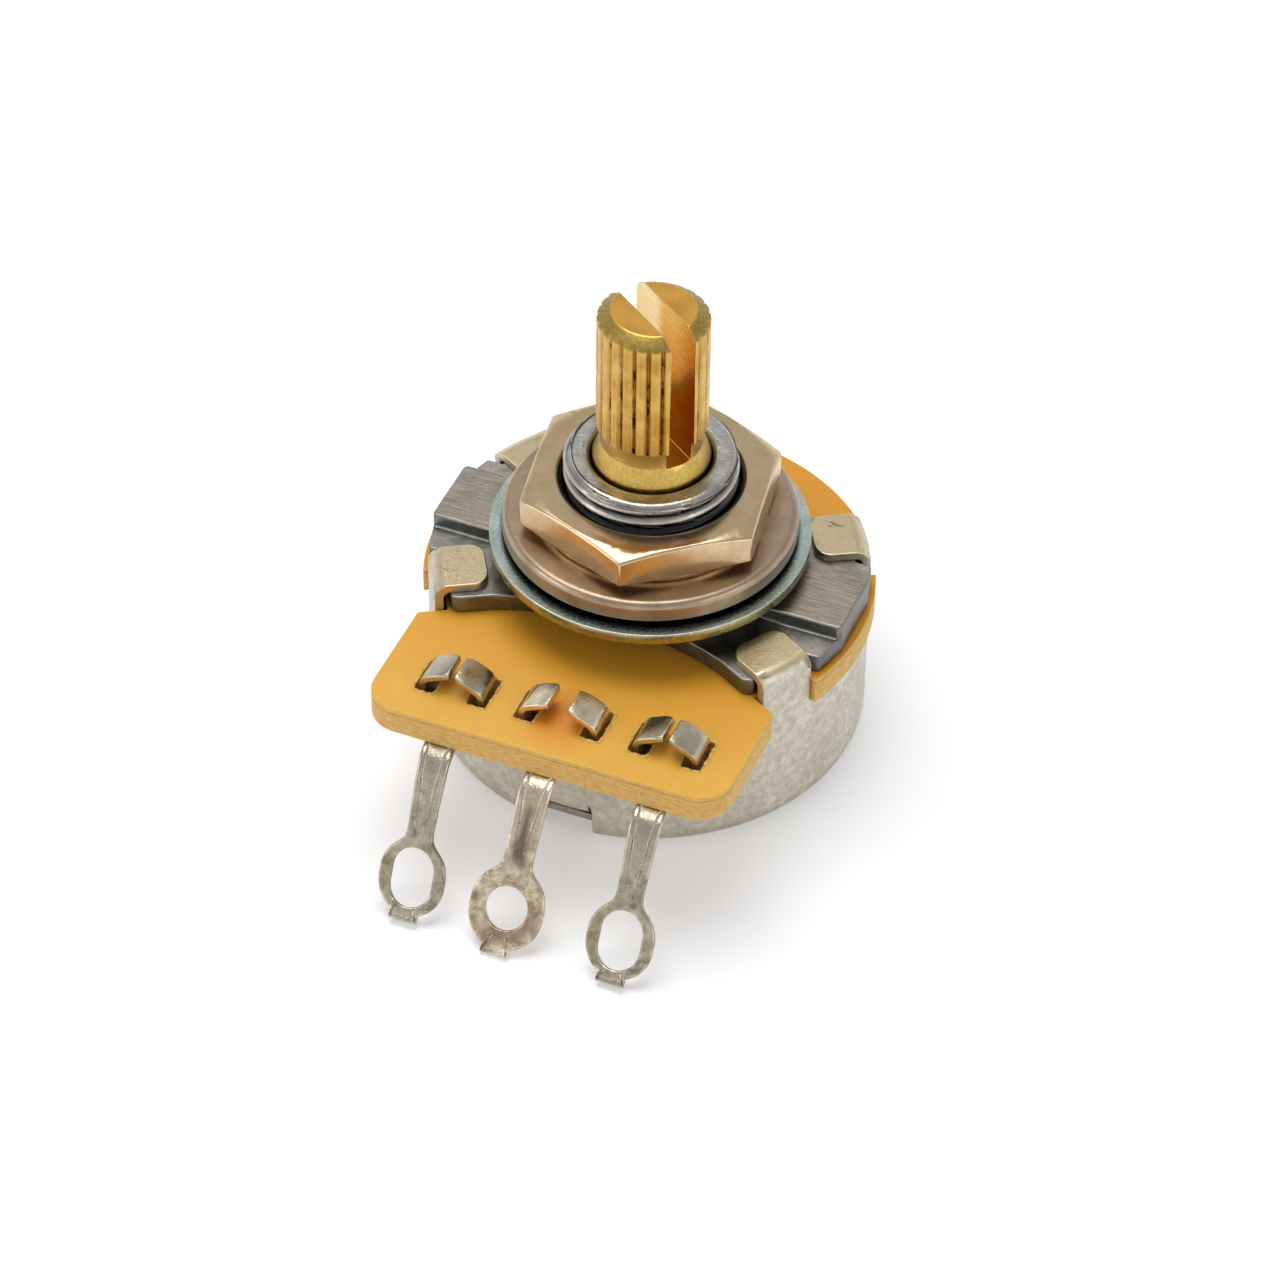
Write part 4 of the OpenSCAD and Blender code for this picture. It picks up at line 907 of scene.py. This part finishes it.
saw_way = add(tree, "Mapping", {"Vector": turned, "Rotation": (0, 0.7, 0), "Scale": (0.12, 1, 1)})
saw, sawn = blotches(tree, saw_way, 0.10, 0.35, 0.65, Detail=3)
# Painted shade: the slot's walls are painted darker and more orange towards its bottom.
painted_slot_shade = add(tree, "MapRange", {0: at["Z"], 1: 27.0 * MM, 2: 21.0 * MM})
sawn_high = add(tree, "Mix", {FAC: sawn, A: "#eac886", B: "#f3d79c"})
sawn_low = add(tree, "Mix", {FAC: sawn, A: "#cf9a44", B: "#e0b264"})
slot_tone = add(tree, "Mix", {FAC: painted_slot_shade, A: sawn_high, B: sawn_low})
tone = add(tree, "Mix", {FAC: slot_part, A: ended, B: slot_tone})
turned_sheen = add(tree, "MapRange", {0: clouds, 1: 0.3, 2: 0.7, 3: 0.24, 4: 0.36})
end_sheen = add(tree, "Mix", {0: chamfer_part, 2: turned_sheen, 3: 0.42})
sheen = add(tree, "Mix", {0: slot_part, 2: end_sheen, 3: 0.13})
skin = add(tree, "Mix", {0: slot_part, 2: grain, 3: saw})
wire(tree, shader, relief=(skin, 0.5, 0.012), base_color=tone, roughness=sheen)
dress(brass, "shaft")

# %% [markdown]
# Nickel plate: the nut and the flat washer. Nickel is a warm, yellowish white, and barrel plating leaves it
# satin with shallow waves and a few dents. The nut is brighter. The washer was blanked from sheet and is
# duller, with a browner tone and fine marks round its rim.

# %% Nickel plate
def nickel(name, light, dark, smooth, rough):
    """Clouds of 1.6 mm mix the two tones and set the sheen, and grain of 0.2 mm pits the skin."""
    made, tree, shader, place = material(name, metallic=1.0)
    clouds, cloudy = blotches(tree, place, 1.6, 0.36, 0.64, Detail=4, Roughness=0.6)
    grain, pit = blotches(tree, place, 0.2, 0.70, 0.78, 0.7, Detail=3)
    plate_tone = add(tree, "Mix", {FAC: cloudy, A: light, B: dark})
    pitted = add(tree, "Mix", {FAC: pit, A: plate_tone, B: "#4b4036"})
    sheen = add(tree, "MapRange", {0: clouds, 1: 0.3, 2: 0.7, 3: smooth, 4: rough})
    waves = add(tree, "TexNoise", {"Vector": place, "Scale": PER_MM / 2.5, "Detail": 1})
    bump = add(tree, "Bump", {"Height": grain, "Strength": 0.3, "Distance": 0.01 * MM})
    swell = add(tree, "Bump", {"Height": waves, "Strength": 0.6, "Distance": 0.06 * MM, "Normal": bump})
    wire(tree, shader, base_color=pitted, roughness=sheen, normal=swell)
    return made


dress(nickel("bright nickel plate", "#dcc3a0", "#cbb18c", 0.16, 0.24), "hex_nut")
dress(nickel("dull nickel plate", "#b5a18b", "#a08b76", 0.27, 0.36), "flat_washer")

# %% [markdown]
# Zinc plate: the lock washer. The blue passivation is a film thinner than a wavelength, so it tints the
# metal pale blue-green on top and olive-yellow where it is thicker, on the lower rim. Pale specks there are
# crystals of zinc, and the part that the flat washer covers is painted dark, as the shade under that washer.

# %% Zinc plate
blue_zinc, tree, shader, place = material("zinc plate, blue passivated", metallic=1.0)
_, cloudy = blotches(tree, place, 1.0, 0.35, 0.65, Detail=4)
grain, crystal = blotches(tree, place, 0.18, 0.62, 0.72, 0.8, Detail=2)
top_tone = add(tree, "Mix", {FAC: cloudy, A: "#c3d1cb", B: "#aebeb8"})
rim_tone = add(tree, "Mix", {FAC: cloudy, A: "#b3aa7c", B: "#98976e"})
top_part = add(tree, "MapRange", {0: upward(tree), 1: 0.1, 2: 0.7})
film = add(tree, "Mix", {FAC: top_part, A: rim_tone, B: top_tone})
on_rim = add(tree, "MapRange", {0: top_part, 3: 1, 4: 0.25})
rim_crystal = add(tree, "Math", {0: crystal, 1: on_rim})
tone = add(tree, "Mix", {FAC: rim_crystal, A: film, B: "#e6e6d6"})
radius = from_axis(tree, place)
# Painted shade: inside the flat washer's rim, the lock washer is painted dark.
painted_washer_shade = add(tree, "MapRange", {0: radius, 1: 8.2 * MM, 2: 7.95 * MM, 4: 0.85})
washer_shaded_tone = add(tree, "Mix", {FAC: painted_washer_shade, A: tone, B: "#3a413f"})
sheen = add(tree, "MapRange", {0: grain, 1: 0.3, 2: 0.7, 3: 0.34, 4: 0.22})
wire(tree, shader, relief=(grain, 0.3, 0.012), base_color=washer_shaded_tone, roughness=sheen)
dress(blue_zinc, "lock_washer")

# %% [markdown]
# The pieces inside are seldom seen, but each is made of something too. The track is carbon ink, dead black
# with a fine grain. The silver ends are silver ink, matt and granular.

# %% Printed films
def printed(name, light, dark, grain_mm, rough):
    """Ink of two tones in grains of grain_mm, with the same grain as relief."""
    made, tree, shader, place = material(name, roughness=rough)
    grain, grainy = blotches(tree, place, grain_mm, 0.35, 0.65, Detail=3)
    tone = add(tree, "Mix", {FAC: grainy, A: dark, B: light})
    wire(tree, shader, relief=(grain, 0.5, 0.02), base_color=tone)
    return made


dress(printed("printed carbon film", "#34312e", "#1f1d1b", 0.15, 0.7), "carbon_track")
dress(printed("printed silver film", "#c6c6c1", "#a4a49f", 0.12, 0.5), "silver_end_left", "silver_end_right")
dress(printed("moulded brown phenolic", "#65492f", "#4a3320", 0.6, 0.45), "rotor")

# %% [markdown]
# Rolled strip: the wiper and the collector ring are phosphor bronze, and the split ring and the dished
# washer are spring steel. Rolling leaves fine lines along the strip, here along X.

# %% Rolled metals
def rolled(name, light, dark, rough):
    """Lines 0.12 mm wide and ten times as long mix the two tones and pit the skin."""
    made, tree, shader, place = material(name, metallic=1.0, roughness=rough)
    way = add(tree, "Mapping", {"Vector": place, "Scale": (0.1, 1, 1)})
    lines, lined = blotches(tree, way, 0.12, 0.35, 0.65, Detail=3)
    tone = add(tree, "Mix", {FAC: lined, A: dark, B: light})
    wire(tree, shader, relief=(lines, 0.4, 0.01), base_color=tone)
    return made


dress(rolled("rolled phosphor bronze", "#dcb474", "#c0955a", 0.25), "wiper_contact", "collector_ring")
dress(rolled("hardened spring steel", "#a7a8a8", "#84868a", 0.3), "retaining_ring", "spring_washer")

# %% [markdown]
# Last, the view transform is set to Standard. Only the lugs reach further than the imported model, by less than
# 0.4 mm at the front. All the rest keeps its size to within a broken edge.

# %% Finish
bpy.context.scene.view_settings.view_transform = "Standard"
